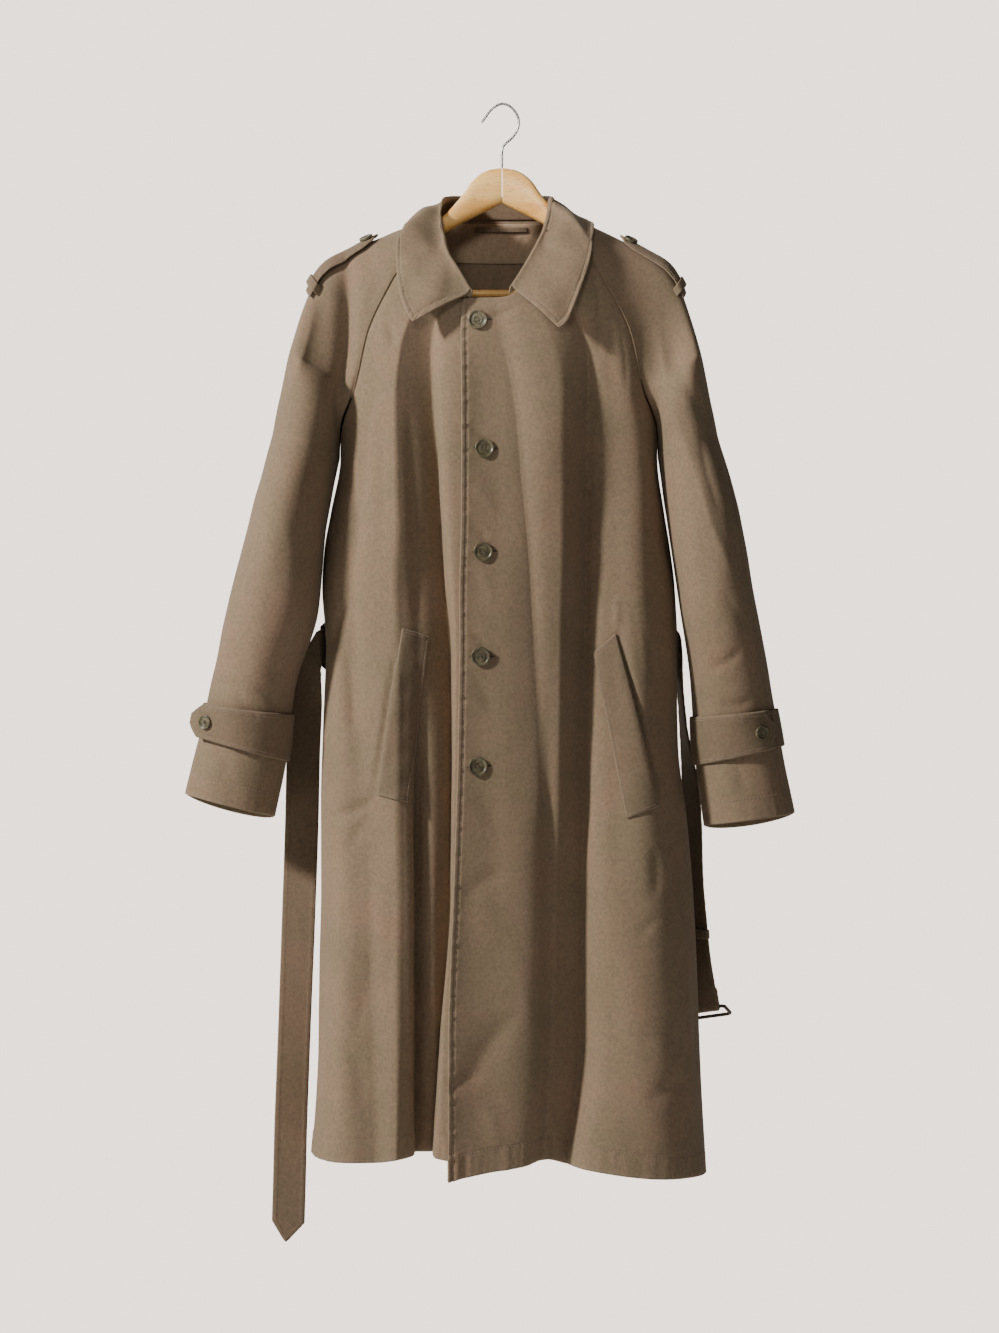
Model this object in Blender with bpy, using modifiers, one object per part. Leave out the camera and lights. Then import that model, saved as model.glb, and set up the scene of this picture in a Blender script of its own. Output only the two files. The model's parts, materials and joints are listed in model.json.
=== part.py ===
"""Trench coat on a wooden hanger.

Metres, +Z up, the coat's front faces -Y.  The origin is the inner top of the
hanger's hook, where a rod carries it.  "left" and "right" are the wearer's,
so the left front lies at +X and laps over the right one.

The cloth is worked out from sections.  A hull, the coat's section without
folds, is given by height.  Each panel then has a few named lines that run
from hem to neck (edges, ridges and valleys), with their X and how deep they
lie under the hull at each row.  Tables are in millimetres.
"""
import math

import bmesh
import bpy
import numpy as np
from mathutils import Matrix, Vector
from mathutils.bvhtree import BVHTree

# ---------------------------------------------------------------- sizes
MM = 0.001
CLOTH = 0.0015            # wall of the coat's cloth
DOUBLE = 0.0022           # straps, welts and loops: two layers, stitched
COLLAR_WALL = 0.0020
COLLAR_GAP = 0.0026       # the stand's middle past the neck seam
# The fall over its straight line: station from an end, mm.
FALL_BULGE = ((0, 3.0), (2, 6.0), (4, 6.4), (5.3, 4.6), (6.4, 1.6), (10, 2.5))
ROLL_D = 0.0052           # the fold's width at the roll line
FALL_GAPS = (0.0036, 0.0062, 0.0060, 0.0050)   # fall over the coat
SEAM = 0.00035            # half of the gap at a seam
LAP_GAP = 0.0048          # under front below the top front
BUTTON_R = 0.0115
CUFF_BUTTON_R = 0.0085
BUTTON_T = 0.0034
BELT_W = 0.039
STRAP_W = 0.042
LOOP_W = 0.010
HOOK_R = 0.0015
BAR_R = 0.0046

ROWS = ("hem", "shin", "knee", "thigh", "hip", "waist", "armpit",
        "chest", "upper", "yoke", "neck")
ARMPIT, NECK = 6, 10

# The section without folds, by height: half widths, depths, all in mm.
#        z     right  left  front  back
HULL = (
    (-1310, 235.0, 250.0, 121, 117),
    (-1200, 226.0, 243.5, 117, 112),
    (-1143, 223.5, 241.0, 115, 110),
    (-1027, 222.0, 236.5, 111, 106),
    (-960, 220.5, 233.0, 110, 104),
    (-867, 220.3, 225.0, 107, 101),
    (-782, 218.0, 215.0, 105, 99),
    (-714, 216.0, 213.5, 104, 98),
    (-660, 214.5, 214.0, 103, 97),
    (-589, 219.5, 210.8, 102, 96),
    (-540, 216.2, 204.6, 102, 95),
    (-498, 208.6, 198.0, 101, 94),
    (-430, 197.0, 189.5, 100, 92),
    (-300, 197.0, 189.5, 94, 82),
    (-244, 197.0, 189.5, 88, 74),
    (-165, 197.0, 189.5, 65, 62),
    (-125, 197.0, 189.5, 57, 56),
)
HULL_POWER = 2.4

# Wearer's left front, the one on top: X of its lines.
LEFT_LINES = ("edge", "valley 2", "ridge 2", "valley 3", "ridge 3", "turn",
              "side")
LEFT_X = (
    (-63.6, 45.0, 62.0, 84.5, 122.0, 190.0, None),     # hem
    (-63.7, 56.0, 71.0, 104.8, 142.0, 190.0, None),    # shin
    (-57.5, 52.0, 72.0, 106.0, 143.0, 186.0, None),    # knee
    (-52.5, 46.6, 72.0, 106.0, 143.0, 182.0, None),    # thigh
    (-50.0, 38.4, 72.0, 108.5, 143.0, 176.0, None),    # hip
    (-48.8, 31.6, 73.5, 109.5, 143.0, 174.0, None),    # waist
    (-47.6, 21.8, 73.5, 112.5, 145.0, 172.0, None),    # armpit
    (-47.6, 16.0, 73.0, 112.0, 136.0, 156.0, 170.5),   # chest
    (-48.2, 6.5, 66.0, 107.0, 128.0, 143.0, 153.5),    # upper
    (-48.8, -4.0, 48.0, 84.0, 101.0, 113.0, 121.0),    # yoke
    (-46.4, -8.0, 24.0, 48.0, 65.0, 78.0, 88.0),       # neck
)
LEFT_DEPTH = (
    (0, 28, 30, 50, 8, 1, 0),
    (0, 26, 28, 48, 5, 0, 0),
    (0, 21, 22, 44, 3, 0, 0),
    (0, 18, 14, 39, 2, 0, 0),
    (0, 15, 6, 35, 1, 0, 0),
    (0, 13, 3, 33, 1, 0, 0),
    (0, 12, 2, 30, 1, 0, 0),
    (0, 11, 1, 26, 1, 0, 0),
    (0, 9, 1, 18, 0, 0, 0),
    (1, 6, 0, 9, 0, 0, 0),
    (2, 2, 1, 1, 0, 0, 0),
)
LEFT_HEM_Z = (-1296, -1280, -1276, -1283, -1289, -1298, -1300)
LEFT_NECK_Z = (-244, -244, -233, -215, -198, -181, -165)
#            centre Z, side Z of each row
FRONT_LEFT_Z = ((-1290, -1300), (-1140, -1140), (-960, -960), (-800, -800),
                (-640, -640), (-540, -540), (-430, -430), (-375, -350),
                (-325, -280), (-280, -217), (-244, -165))

# Wearer's right front, the one below: X of its lines.
RIGHT_LINES = ("under edge", "lap", "valley 1", "ridge 1", "valley 4",
               "turn", "side")
RIGHT_X = (
    (14.0, -62.0, -93.0, -132.0, -165.0, -200.0, None),
    (14.0, -62.0, -82.0, -130.0, -168.0, -196.0, None),
    (14.0, -54.0, -68.0, -128.0, -170.0, -196.0, None),
    (14.0, -49.0, -65.0, -127.0, -172.0, -196.0, None),
    (14.0, -47.0, -68.0, -126.5, -180.0, -201.0, None),
    (14.0, -46.0, -77.0, -126.5, -178.0, -200.0, None),
    (14.0, -45.0, -84.5, -127.0, -165.0, -182.0, None),
    (10.0, -45.0, -88.5, -128.0, -153.0, -167.0, -178.0),
    (3.0, -45.0, -89.0, -122.0, -141.0, -152.0, -161.0),
    (7.0, -45.0, -80.0, -103.0, -116.0, -124.0, -130.0),
    (14.0, -42.0, -60.0, -75.0, -85.0, -91.0, -96.0),
)
RIGHT_DEPTH = (
    (8, 14, 50, 3, 7, 0, 0),
    (6, 14, 48, 2, 6, 0, 0),
    (5, 14, 44, 1, 5, 0, 0),
    (5, 12, 40, 1, 5, 0, 0),
    (5, 9, 36, 1, 8, 0, 0),
    (5, 7, 33, 1, 8, 0, 0),
    (5, 6, 30, 0, 4, 0, 0),
    (5, 6, 26, 0, 1, 0, 0),
    (5, 6, 18, 0, 0, 0, 0),
    (5, 6, 10, 0, 0, 0, 0),
    (6, 6, 4, 0, 0, 0, 0),
)
RIGHT_HEM_Z = (-1273, -1273, -1269, -1275, -1279, -1279, -1276)
RIGHT_NECK_Z = (-247, -246, -233, -214, -199, -185, -170)
FRONT_RIGHT_Z = ((-1273, -1276), (-1140, -1140), (-960, -960), (-800, -800),
                 (-640, -640), (-540, -540), (-430, -430), (-375, -350),
                 (-325, -280), (-280, -217), (-247, -170))

# Back, from the wearer's right side to the left one: X of its lines.
BACK_LINES = ("right side", "turn r", "ridge r", "valley r", "ridge mid",
              "valley l", "ridge l", "turn l", "left side")
BACK_X = (
    (None, -198, -150, -92, -22, 58, 118, 196, None),
    (None, -195, -146, -90, -20, 60, 120, 194, None),
    (None, -192, -140, -86, -16, 62, 122, 188, None),
    (None, -188, -136, -82, -12, 64, 122, 182, None),
    (None, -186, -132, -78, -8, 66, 122, 178, None),
    (None, -186, -130, -76, -4, 66, 122, 174, None),
    (None, -180, -128, -74, 0, 66, 122, 170, None),
    (-177, -162, -122, -70, 0, 64, 116, 156, 171),
    (-156, -143, -112, -62, 0, 58, 106, 138, 151),
    (-122, -112, -88, -48, 0, 46, 84, 108, 118),
    (-80, -74, -56, -32, 0, 30, 52, 70, 76),
)
BACK_DEPTH = (
    (0, 0, 4, 34, 3, 27, 4, 0, 0),
    (0, 0, 3, 29, 2, 23, 3, 0, 0),
    (0, 0, 2, 23, 1, 19, 2, 0, 0),
    (0, 0, 1, 17, 1, 15, 1, 0, 0),
    (0, 0, 1, 12, 1, 11, 1, 0, 0),
    (0, 0, 1, 10, 0, 8, 1, 0, 0),
    (0, 0, 0, 7, 0, 6, 0, 0, 0),
    (0, 0, 0, 5, 0, 4, 0, 0, 0),
    (0, 0, 0, 3, 0, 3, 0, 0, 0),
    (0, 0, 0, 2, 0, 1, 0, 0, 0),
    (0, 0, 0, 0, 0, 0, 0, 0, 0),
)
BACK_HEM_Z = (-1276, -1280, -1284, -1274, -1288, -1280, -1292, -1299, -1300)
BACK_NECK_Z = (-137, -136, -135, -135, -135, -135, -135, -136, -137)
#          right side Z, centre Z, left side Z
BACK_Z = ((-1276, -1288, -1300), (-1140, -1140, -1140), (-960, -960, -960),
          (-800, -800, -800), (-640, -640, -640), (-540, -540, -540),
          (-430, -430, -430), (-360, -360, -360), (-290, -290, -290),
          (-213, -215, -213), (-137, -135, -137))

# Shoulder line and reach of the sleeve's arcs, row by row from the neck to
# the armpit: outer point, then how far the arc runs straight at each end.
#                x     y     z   seam  top
CAP_LEFT = (
    (92, -6, -141, 16, 14),      # neck
    (150, -18, -171, 34, 26),    # yoke
    (209, -28, -215, 52, 40),    # upper
    (240, -22, -305, 62, 66),    # chest
    (261, -10, -404, 104, 104),  # armpit
)
CAP_RIGHT = (
    (97, -6, -143, 16, 14),
    (158, -18, -169, 34, 26),
    (222, -28, -213, 52, 40),
    (256, -22, -303, 62, 66),
    (280, -10, -404, 106, 106),
)
# Sleeve below the armpit: its flat width, mid depth and half depth.
#              x in   z in  x out  z out   y   depth
TUBE_LEFT = (
    (190, -430, 261, -404, -10, 78),
    (202, -520, 287, -500, -32, 72),
    (215, -612, 304, -590, -34, 64),
    (228, -700, 322, -682, -22, 57),
    (235, -800, 339, -783, -12, 50),
    (245, -877, 355, -862, -12, 46),
)
TUBE_RIGHT = (
    (198, -430, 280, -404, -10, 80),
    (213.5, -518, 303, -496, -32, 74),
    (222.5, -618, 328, -596, -34, 66),
    (251, -712, 350, -690, -22, 58),
    (262, -800, 371, -776, -12, 51),
    (276, -866, 387, -838, -12, 47),
)
CUFF_BACK_DROP = 0.011     # the back of the cuff hangs lower than its front

# Collar: where its stand sits on the neck seam (0-1 front, 1-2 sleeve,
# 2-3 back), the roll line and the outer edge, from front end to mid back.
#              on neck   roll x,y,z          edge x,y,z
COLLAR_LEFT = (
    (0.24, 10, -89, -232, 68, -104, -281),
    (0.36, 24, -82, -210, 77, -102, -274),
    (0.52, 39, -66, -182, 87, -98, -250),
    (0.70, 49, -48, -160, 99, -91, -217),
    (0.88, 56, -25, -134, 107, -79, -188),
    (1.06, 58, -19, -121, 108, -69, -175),
    (1.30, 59, 0, -116, 108, -50, -163),
    (1.70, 57, 20, -112, 107, 0, -146),
    (2.15, 50, 37, -109, 98, 50, -150),
    (2.50, 29, 48, -108, 62, 71, -156),
    (3.00, 0, 52, -108, 0, 76, -159),
)
COLLAR_RIGHT = (
    (0.14, -36, -91, -237, -106, -104, -274),
    (0.25, -51, -84, -211, -113, -101, -263),
    (0.42, -64, -71, -188, -123, -91, -232),
    (0.60, -69, -52, -166, -126, -80, -204),
    (0.84, -73, -27, -139, -126, -69, -175),
    (1.30, -71, 0, -118, -120, -50, -161),
    (1.70, -64, 20, -112, -116, 0, -148),
    (2.15, -52, 37, -109, -102, 50, -150),
    (2.50, -29, 48, -108, -63, 71, -156),
    (3.00, 0, 52, -108, 0, 76, -159),
)

#            X, Z of the five front buttons
BUTTONS = ((-29.0, -270.6), (-21.2, -424.3), (-22.7, -548.0),
           (-26.0, -673.0), (-29.0, -804.0))

# Cuff straps: v of the middle, half width in v outside and inside the arm,
# where the end lies, and how far it stands off the sleeve.
#           middle outside inside  end  stand
CUFF_STRAPS = {
    "left": (7.755, 0.218, 0.292, 2.26, 0.0),
    "right": (7.665, 0.222, 0.322, 2.36, 10.0),
}

# Pocket welts: X, Z of the opening edge's ends and of the sewn edge's ends.
WELT_LEFT = ((136, -646), (187, -852), (111, -668), (150, -866))
WELT_RIGHT = ((-119, -640), (-148, -838), (-88, -650), (-113, -847))

# Hanger arm, from the middle to its end: top, bottom, mid Y, half depth.
ARM = (
    (0.4, -77, -120.4, 0.0, 10.0),
    (14, -79, -127.2, -0.5, 10.2),
    (25.6, -84, -133, -1.0, 10.4),
    (37, -94, -138.8, -1.8, 10.8),
    (45, -106, -143, -2.5, 11.0),
    (55, -119, -148.6, -3.4, 11.5),
    (73, -137.5, -159, -5.4, 12.2),
    (110, -159, -179, -11.0, 13.6),
    (145, -178, -200, -18.0, 15.2),
    (172, -193, -219, -24.0, 16.4),
    (188, -207, -236, -28.0, 16.0),
    (195, -217, -242, -29.5, 12.0),
)
BAR_Z, BAR_Y = -0.2330, -0.0270

# Hook wire's middle line: X, Z.
HOOK = ((-24.6, -21.0), (-19.6, -14.2), (-14.8, -7.6), (-9.0, -2.4),
        (-3.6, 0.6), (0.6, 1.5), (6.4, 0.2), (12.4, -4.0), (17.6, -10.6),
        (20.4, -18.0), (20.4, -24.0), (18.4, -31.0), (14.2, -38.0),
        (8.6, -43.6), (3.6, -48.0), (0.6, -53.0), (0.0, -60.0),
        (0.0, -76.4))

# Belt where it hangs: front or outer edge X,Y,Z and the other edge X,Y,Z.
BELT_FREE = (
    (-226, 4, -643, -221, 5, -682), (-235, 5, -658, -222, 8, -695),
    (-247, 17, -684, -222, 18, -713), (-257, 28, -712, -222, 28, -727),
    (-262, 34, -745, -223, 35, -750), (-264, 38, -790, -225, 40, -792),
    (-266, 38, -880, -227, 42, -880), (-270, 36, -1000, -231, 36, -1000),
    (-274, 34, -1120, -236, 38, -1120), (-278, 32, -1230, -240, 40, -1230),
    (-282, 33, -1366, -244, 39, -1370),
)
BELT_FREE_TIP = (-266, 36, -1392)
BELT_BUCKLE = (
    (218, 13, -650, 217, 37, -685), (220, 6, -670, 216, 42, -690),
    (221, 8, -704, 217, 46, -706), (225, 16, -760, 219, 54, -760),
    (240, 24, -830, 223, 59, -830), (245, 31, -890, 224, 63, -890),
    (247, 36, -954, 223, 66, -954), (253, 38, -1020, 226, 66, -1020),
    (259, 42, -1062, 225, 61, -1064), (266, 45, -1100, 229, 54, -1106),
)
BELT_Z = -0.660
KEEPER_Z = -1.0165
BUCKLE_W, BUCKLE_H, BUCKLE_WIRE_R = 0.052, 0.040, 0.0022
WRAP_R = 0.0043            # the belt's end round the buckle's frame

BELT_TURNS = (-94, -256)    # where the belt leaves the back, degrees
BELT_LIFT = 0.0050
LOOP_TURNS = (("right", -101), ("left", 112))

COLOURS = {
    "cloth": (0.215, 0.165, 0.118, 1.0, 0.85, 0.0),
    "wood": (0.72, 0.48, 0.25, 1.0, 0.45, 0.0),
    "steel": (0.55, 0.55, 0.55, 1.0, 0.3, 1.0),
    "horn": (0.16, 0.14, 0.07, 1.0, 0.35, 0.0),
    "leather": (0.07, 0.045, 0.03, 1.0, 0.5, 0.0),
}


# ------------------------------------------------------------ numbers
def curve(knots, values, at):
    """Monotone cubic through the knots, flat where the values turn."""
    x = np.asarray(knots, float)
    y = np.asarray(values, float)
    at = min(max(at, x[0]), x[-1])
    k = int(min(max(np.searchsorted(x, at) - 1, 0), len(x) - 2))
    h = np.diff(x)
    d = np.diff(y) / h

    def slope(i):
        if i == 0:
            return d[0]
        if i == len(x) - 1:
            return d[-1]
        if d[i - 1] * d[i] <= 0:
            return 0.0
        a, b = 2 * h[i] + h[i - 1], h[i] + 2 * h[i - 1]
        return (a + b) / (a / d[i - 1] + b / d[i])

    t = (at - x[k]) / h[k]
    a, b = slope(k) * h[k], slope(k + 1) * h[k]
    return float((1 + 2 * t) * (1 - t) ** 2 * y[k] + t * (1 - t) ** 2 * a
                 + t * t * (3 - 2 * t) * y[k + 1] + t * t * (t - 1) * b)


def steps(first, last, count):
    """count equal steps from first to last, both ends included."""
    return [first + (last - first) * i / count for i in range(count + 1)]


def unit(v):
    return v / max(np.linalg.norm(v), 1e-12)


def smooth_run(points, count):
    """count + 1 points on a smooth line through the given ones."""
    points = np.asarray(points, float)
    knots = np.arange(len(points))
    return [np.array([curve(knots, points[:, a], t) for a in range(3)])
            for t in steps(0, len(points) - 1, count)]


# --------------------------------------------------------------- hull
HULL_T = np.array(sorted(HULL), float) * MM


def hull_at(z):
    """Half width at -X, at +X, front depth, back depth at height z."""
    return [curve(HULL_T[:, 0], HULL_T[:, c], z) for c in (1, 2, 3, 4)]


def hull_angle(x, z):
    """Angle on the section, 0 in front and +90 deg at +X, from X."""
    right, left, _, _ = hull_at(z)
    w = left if x > 0 else right
    s = min(abs(x) / w, 1.0) ** (HULL_POWER / 2)
    return math.copysign(math.asin(min(s, 1.0)), x)


def hull_point(angle, z, lift):
    """Point of the section, moved out by lift."""
    right, left, front, back = hull_at(z)
    s, c = math.sin(angle), math.cos(angle)
    w = left if s > 0 else right
    d = front if c > 0 else back
    e = 2 / HULL_POWER
    x = math.copysign(w * abs(s) ** e, s)
    y = -math.copysign(d * abs(c) ** e, c)
    p = HULL_POWER - 1
    n = np.array([math.copysign(abs(x / w) ** p / w, x),
                  math.copysign(abs(y / d) ** p / d, y), 0.0])
    return np.array([x, y, z]) + unit(n) * lift


# ------------------------------------------------------------- panels
class Panel:
    """A front or the back: lines by row, read at any (u, v)."""

    def __init__(self, xs, depths, hem, neck, row_z, sharp, behind=False):
        self.x, self.depth, self.sharp = xs, depths, sharp
        self.hem, self.neck = hem, neck
        self.row_z, self.behind = row_z, behind
        self.last = len(hem) - 1
        self.side_sign = 1 if xs[3][-2] > 0 else -1
        self.over = None
        self.cache = {}
        self.angles = [self.row_angles(r) for r in range(len(xs))]

    def plain_z(self, u, row):
        """Height at whole row, on a straight run between its ends."""
        knots = self.row_z[row]
        at = u / self.last * (len(knots) - 1)
        return float(np.interp(at, range(len(knots)), knots)) * MM

    def height(self, u, v):
        lo = min(int(v), NECK - 1)
        t = v - lo
        z = self.plain_z(u, lo) * (1 - t) + self.plain_z(u, lo + 1) * t
        lines = np.arange(self.last + 1)
        if v < 1:
            z += (1 - v) * (curve(lines, self.hem, u) * MM
                            - self.plain_z(u, 0))
        if v > ARMPIT:
            w = ((v - ARMPIT) / (NECK - ARMPIT)) ** 1.6
            z += w * (curve(lines, self.neck, u) * MM
                      - self.plain_z(u, NECK))
        return z

    def row_angles(self, row):
        out = []
        for u, x in enumerate(self.x[row]):
            if x is None:
                sign = -1 if (self.behind and u == 0) else 1
                if not self.behind:
                    sign = self.side_sign
                angle = sign * math.pi / 2
            else:
                angle = hull_angle(x * MM, self.height(u, row))
                if self.behind:
                    angle = math.pi - angle
                    if angle > math.pi:
                        angle -= 2 * math.pi
            out.append(angle)
        if self.behind:
            out = [a if a > 0 else a + 2 * math.pi for a in out]
            out = [2 * math.pi + a if a < math.pi / 4 else a for a in out]
        return out

    def row(self, v):
        if v not in self.cache:
            rows = np.arange(NECK + 1)
            angles = [curve(rows, [r[u] for r in self.angles], v)
                      for u in range(self.last + 1)]
            depth = [curve(rows, [r[u] for r in self.depth], v) * MM
                     for u in range(self.last + 1)]
            self.cache[v] = (angles, depth)
        return self.cache[v]

    def fold(self, u, depth):
        """Depth between the lines.  A valley in self.sharp goes down its
        low and high side by its own share and power."""
        d = curve(np.arange(self.last + 1), depth, u)
        for line, low, high in self.sharp:
            ridge, (share, power) = ((line - 1, low) if u < line
                                     else (line + 1, high))
            t = 1 - abs(u - line)
            if t > 0 and share:
                d += (share * (depth[line] - depth[ridge])
                      * (t ** power - t * t * (3 - 2 * t)))
        return d

    def depth_at(self, angle, v):
        """Depth where the row passes the given angle."""
        angles, depth = self.row(v)
        lines = np.arange(self.last + 1)
        if (angle - angles[0]) * (angles[-1] - angles[0]) <= 0:
            return depth[0]
        lo, hi = 0.0, float(self.last)
        for _ in range(26):
            mid = (lo + hi) / 2
            past = curve(lines, angles, mid) > angle
            if past == (angles[-1] > angles[0]):
                hi = mid
            else:
                lo = mid
        return self.fold(lo, depth)

    def point(self, u, v, lift=0.0):
        angles, depth = self.row(v)
        lines = np.arange(self.last + 1)
        angle = curve(lines, angles, u)
        d = self.fold(u, depth)
        if self.over is not None and u < 2:
            top = self.over.depth_at(angle, v) + LAP_GAP
            edge = self.over.row(v)[0][0]
            inside = min(max((angle - edge) / 0.05 + 0.4, 0.0), 1.0)
            d = d + (max(top, d) - d) * inside
        return hull_point(angle, self.height(u, v), lift - d)

    def find(self, x, z):
        """(u, v) of the panel at a given X and Z."""
        u = self.last / 2
        for _ in range(4):
            lo, hi = 0.0, float(NECK)
            for _ in range(22):
                v = (lo + hi) / 2
                if self.height(u, v) > z:
                    hi = v
                else:
                    lo = v
            a, b = 0.0, float(self.last)
            for _ in range(18):
                u = (a + b) / 2
                if (self.point(u, v)[0] > x) == (self.side_sign > 0):
                    b = u
                else:
                    a = u
        return u, v


# Valleys that are sharp: line, then share and power of the low side and of
# the high side.  A high power is a step, like the edge of a pressed fold.
LEFT_SHARP = ((1, (0.9, 2.3), (1.0, 4.0)), (3, (0.45, 1.15), (1.0, 5.0)))
RIGHT_SHARP = ((2, (1.0, 5.0), (0.45, 1.15)), (4, (1.0, 5.0), (0.5, 1.2)))
FRONT_LEFT = Panel(LEFT_X, LEFT_DEPTH, LEFT_HEM_Z, LEFT_NECK_Z,
                   FRONT_LEFT_Z, LEFT_SHARP)
FRONT_RIGHT = Panel(RIGHT_X, RIGHT_DEPTH, RIGHT_HEM_Z, RIGHT_NECK_Z,
                    FRONT_RIGHT_Z, RIGHT_SHARP)
FRONT_RIGHT.over = FRONT_LEFT
BACK = Panel(BACK_X, BACK_DEPTH, BACK_HEM_Z, BACK_NECK_Z, BACK_Z, (),
             behind=True)


def normal(surface, a, b):
    """Unit normal of surface(a, b), from two short steps."""
    e = 0.02
    along = surface(a + e, b) - surface(a - e, b)
    up = surface(a, b + e) - surface(a, b - e)
    return unit(np.cross(along, up))


# ------------------------------------------------------------- sleeve
class Sleeve:
    """Raglan sleeve: w is 0 at the front seam, 1 outside, 2 behind;
    v is 0 at the neck, 4 at the armpit and 9 at the cuff."""

    def __init__(self, sign, front, cap, tube):
        self.sign, self.front = sign, front
        self.cap = np.array(cap, float) * MM
        self.tube = np.array(tube, float) * MM
        self.back_u = BACK.last if sign > 0 else 0

    def seams(self, v):
        """Front and back seam point at v, and the arcs' first directions."""
        pv = NECK - v
        ends = []
        for panel, u, ahead in ((self.front, self.front.last, -1),
                                (BACK, self.back_u, 1)):
            p = panel.point(u, pv)
            step = 0.05
            up = (panel.point(u, min(pv + step, NECK))
                  - panel.point(u, max(pv - step, ARMPIT)))
            out = panel.point(u, pv, 0.001) - p
            across = unit(np.cross(up, out))
            if across[0] * self.sign < 0:
                across = -across
            turn = curve(np.arange(5), (0, 0, 0.12, 0.45, 1), v)
            forward = np.array([0.0, float(ahead), 0.0])
            ends.append((p, unit(across * (1 - turn) + forward * turn)))
        return ends

    def point(self, w, v):
        if v <= 4:
            knots = np.arange(5)
            x, y, z, seam, top = [curve(knots, self.cap[:, c], v)
                                  for c in range(5)]
            outer = np.array([x * self.sign, y, z])
            (f, tf), (b, tb) = self.seams(v)
            move = 0.0007 * np.interp(v, (0, 2.5, 4), (0, 0, 1))
            f = f + np.array([self.sign * move, 0, 0])
            b = b + np.array([self.sign * move, 0, 0])
            reach_f = reach_b = seam
        else:
            knots = np.arange(4, 4 + len(self.tube))
            xi, zi, xo, zo, y, half = [curve(knots, self.tube[:, c], v)
                                       for c in range(6)]
            xi = max(xi, self.tube[0, 0])
            f = b = np.array([(xi + 0.0002) * self.sign, y * (v - 4)
                              / (v - 3.2), zi])
            if v < 5:
                a = self.seams(4)[0][0] + np.array([self.sign * 0.0007,
                                                    0, 0])
                f = b = a * (5 - v) + f * (v - 4)
            outer = np.array([xo * self.sign, y, zo])
            tf, tb = np.array([0, -1.0, 0]), np.array([0, 1.0, 0])
            top = reach_f = reach_b = half / 0.75
        ahead = np.array([0, -1.0, 0])
        if w <= 1:
            p = (f, f + tf * reach_f, outer + ahead * top, outer)
            t = w
        else:
            p = (outer, outer - ahead * top, b + tb * reach_b, b)
            t = w - 1
        q = (p[0] * (1 - t) ** 3 + 3 * p[1] * t * (1 - t) ** 2
             + 3 * p[2] * t * t * (1 - t) + p[3] * t ** 3)
        if v > 7.5:
            behind = math.sin(math.pi * (w - 1)) if w > 1 else 0.0
            q = q - np.array([0, 0, CUFF_BACK_DROP * behind
                              * (v - 7.5) / 1.5])
        return q

    def lifted(self, w, v, lift):
        n = normal(self.point, min(max(w, 0.03), 1.97),
                   min(max(v, 0.03), 8.97))
        return self.point(w, v) - n * lift * self.sign


SLEEVE_LEFT = Sleeve(1, FRONT_LEFT, CAP_LEFT, TUBE_LEFT)
SLEEVE_RIGHT = Sleeve(-1, FRONT_RIGHT, CAP_RIGHT, TUBE_RIGHT)


def neck_point(sleeve, front, q, beyond=0.0):
    """Point of the neck seam: 0-1 front, 1-2 sleeve, 2-3 back.

    beyond moves it on past the seam, in line with the cloth."""
    if q <= 1:
        p = front.point(q * front.last, NECK)
        below = front.point(q * front.last, NECK - 0.3)
    elif q <= 2:
        p = sleeve.point((q - 1) * 2, 0)
        below = sleeve.point((q - 1) * 2, 0.15)
    else:
        side = sleeve.back_u
        u = side + (BACK.last / 2 - side) * (q - 2)
        p = BACK.point(u, NECK)
        below = BACK.point(u, NECK - 0.3)
    return p + unit(p - below) * beyond


# ------------------------------------------------------------- meshes
COLLECTION = bpy.data.collections.new("trench_coat")


def material(name):
    if name in bpy.data.materials:
        return bpy.data.materials[name]
    r, g, b, a, rough, metal = COLOURS[name]
    mat = bpy.data.materials.new(name)
    mat.use_nodes = True
    shader = mat.node_tree.nodes["Principled BSDF"]
    shader.inputs["Base Color"].default_value = (r, g, b, a)
    shader.inputs["Roughness"].default_value = rough
    shader.inputs["Metallic"].default_value = metal
    mat.diffuse_color = (r, g, b, a)
    return mat


def add_object(name, data, mat):
    ob = bpy.data.objects.new(name, data)
    ob.data.materials.append(material(mat))
    COLLECTION.objects.link(ob)
    return ob


def sheet(name, rows, wall, flip=False, offset=-1.0, mat="cloth",
          closed_from=None, even=True):
    """Open surface through rows of points, given a wall by Solidify.

    closed_from: from this row on, the last column is the first one."""
    bm = bmesh.new()
    grid = []
    for j, row in enumerate(rows):
        verts = []
        for i, p in enumerate(row):
            shared = (closed_from is not None and j >= closed_from
                      and i == len(row) - 1)
            verts.append(verts[0] if shared else bm.verts.new(p))
        grid.append(verts)
    for j in range(len(grid) - 1):
        for i in range(len(grid[j]) - 1):
            quad = [grid[j][i], grid[j][i + 1],
                    grid[j + 1][i + 1], grid[j + 1][i]]
            if flip:
                quad.reverse()
            face = []
            for v in quad:
                if v not in face:
                    face.append(v)
            bm.faces.new(face)
    mesh = bpy.data.meshes.new(name)
    bm.to_mesh(mesh)
    bm.free()
    mesh.shade_smooth()
    ob = add_object(name, mesh, mat)
    solid = ob.modifiers.new("wall", "SOLIDIFY")
    solid.thickness = wall
    solid.offset = offset
    solid.use_even_offset = even
    return ob


def pull_back(rows, first=True, last=True, bottom=False, top=True):
    """Move the border points inwards by half a seam gap."""
    rows = [list(r) for r in rows]
    for r in rows:
        if first:
            r[0] = r[0] + unit(r[1] - r[0]) * SEAM
        if last:
            r[-1] = r[-1] + unit(r[-2] - r[-1]) * SEAM
    if top:
        rows[-1] = [p + unit(q - p) * SEAM
                    for p, q in zip(rows[-1], rows[-2])]
    if bottom:
        rows[0] = [p + unit(q - p) * SEAM
                   for p, q in zip(rows[0], rows[1])]
    return rows


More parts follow.
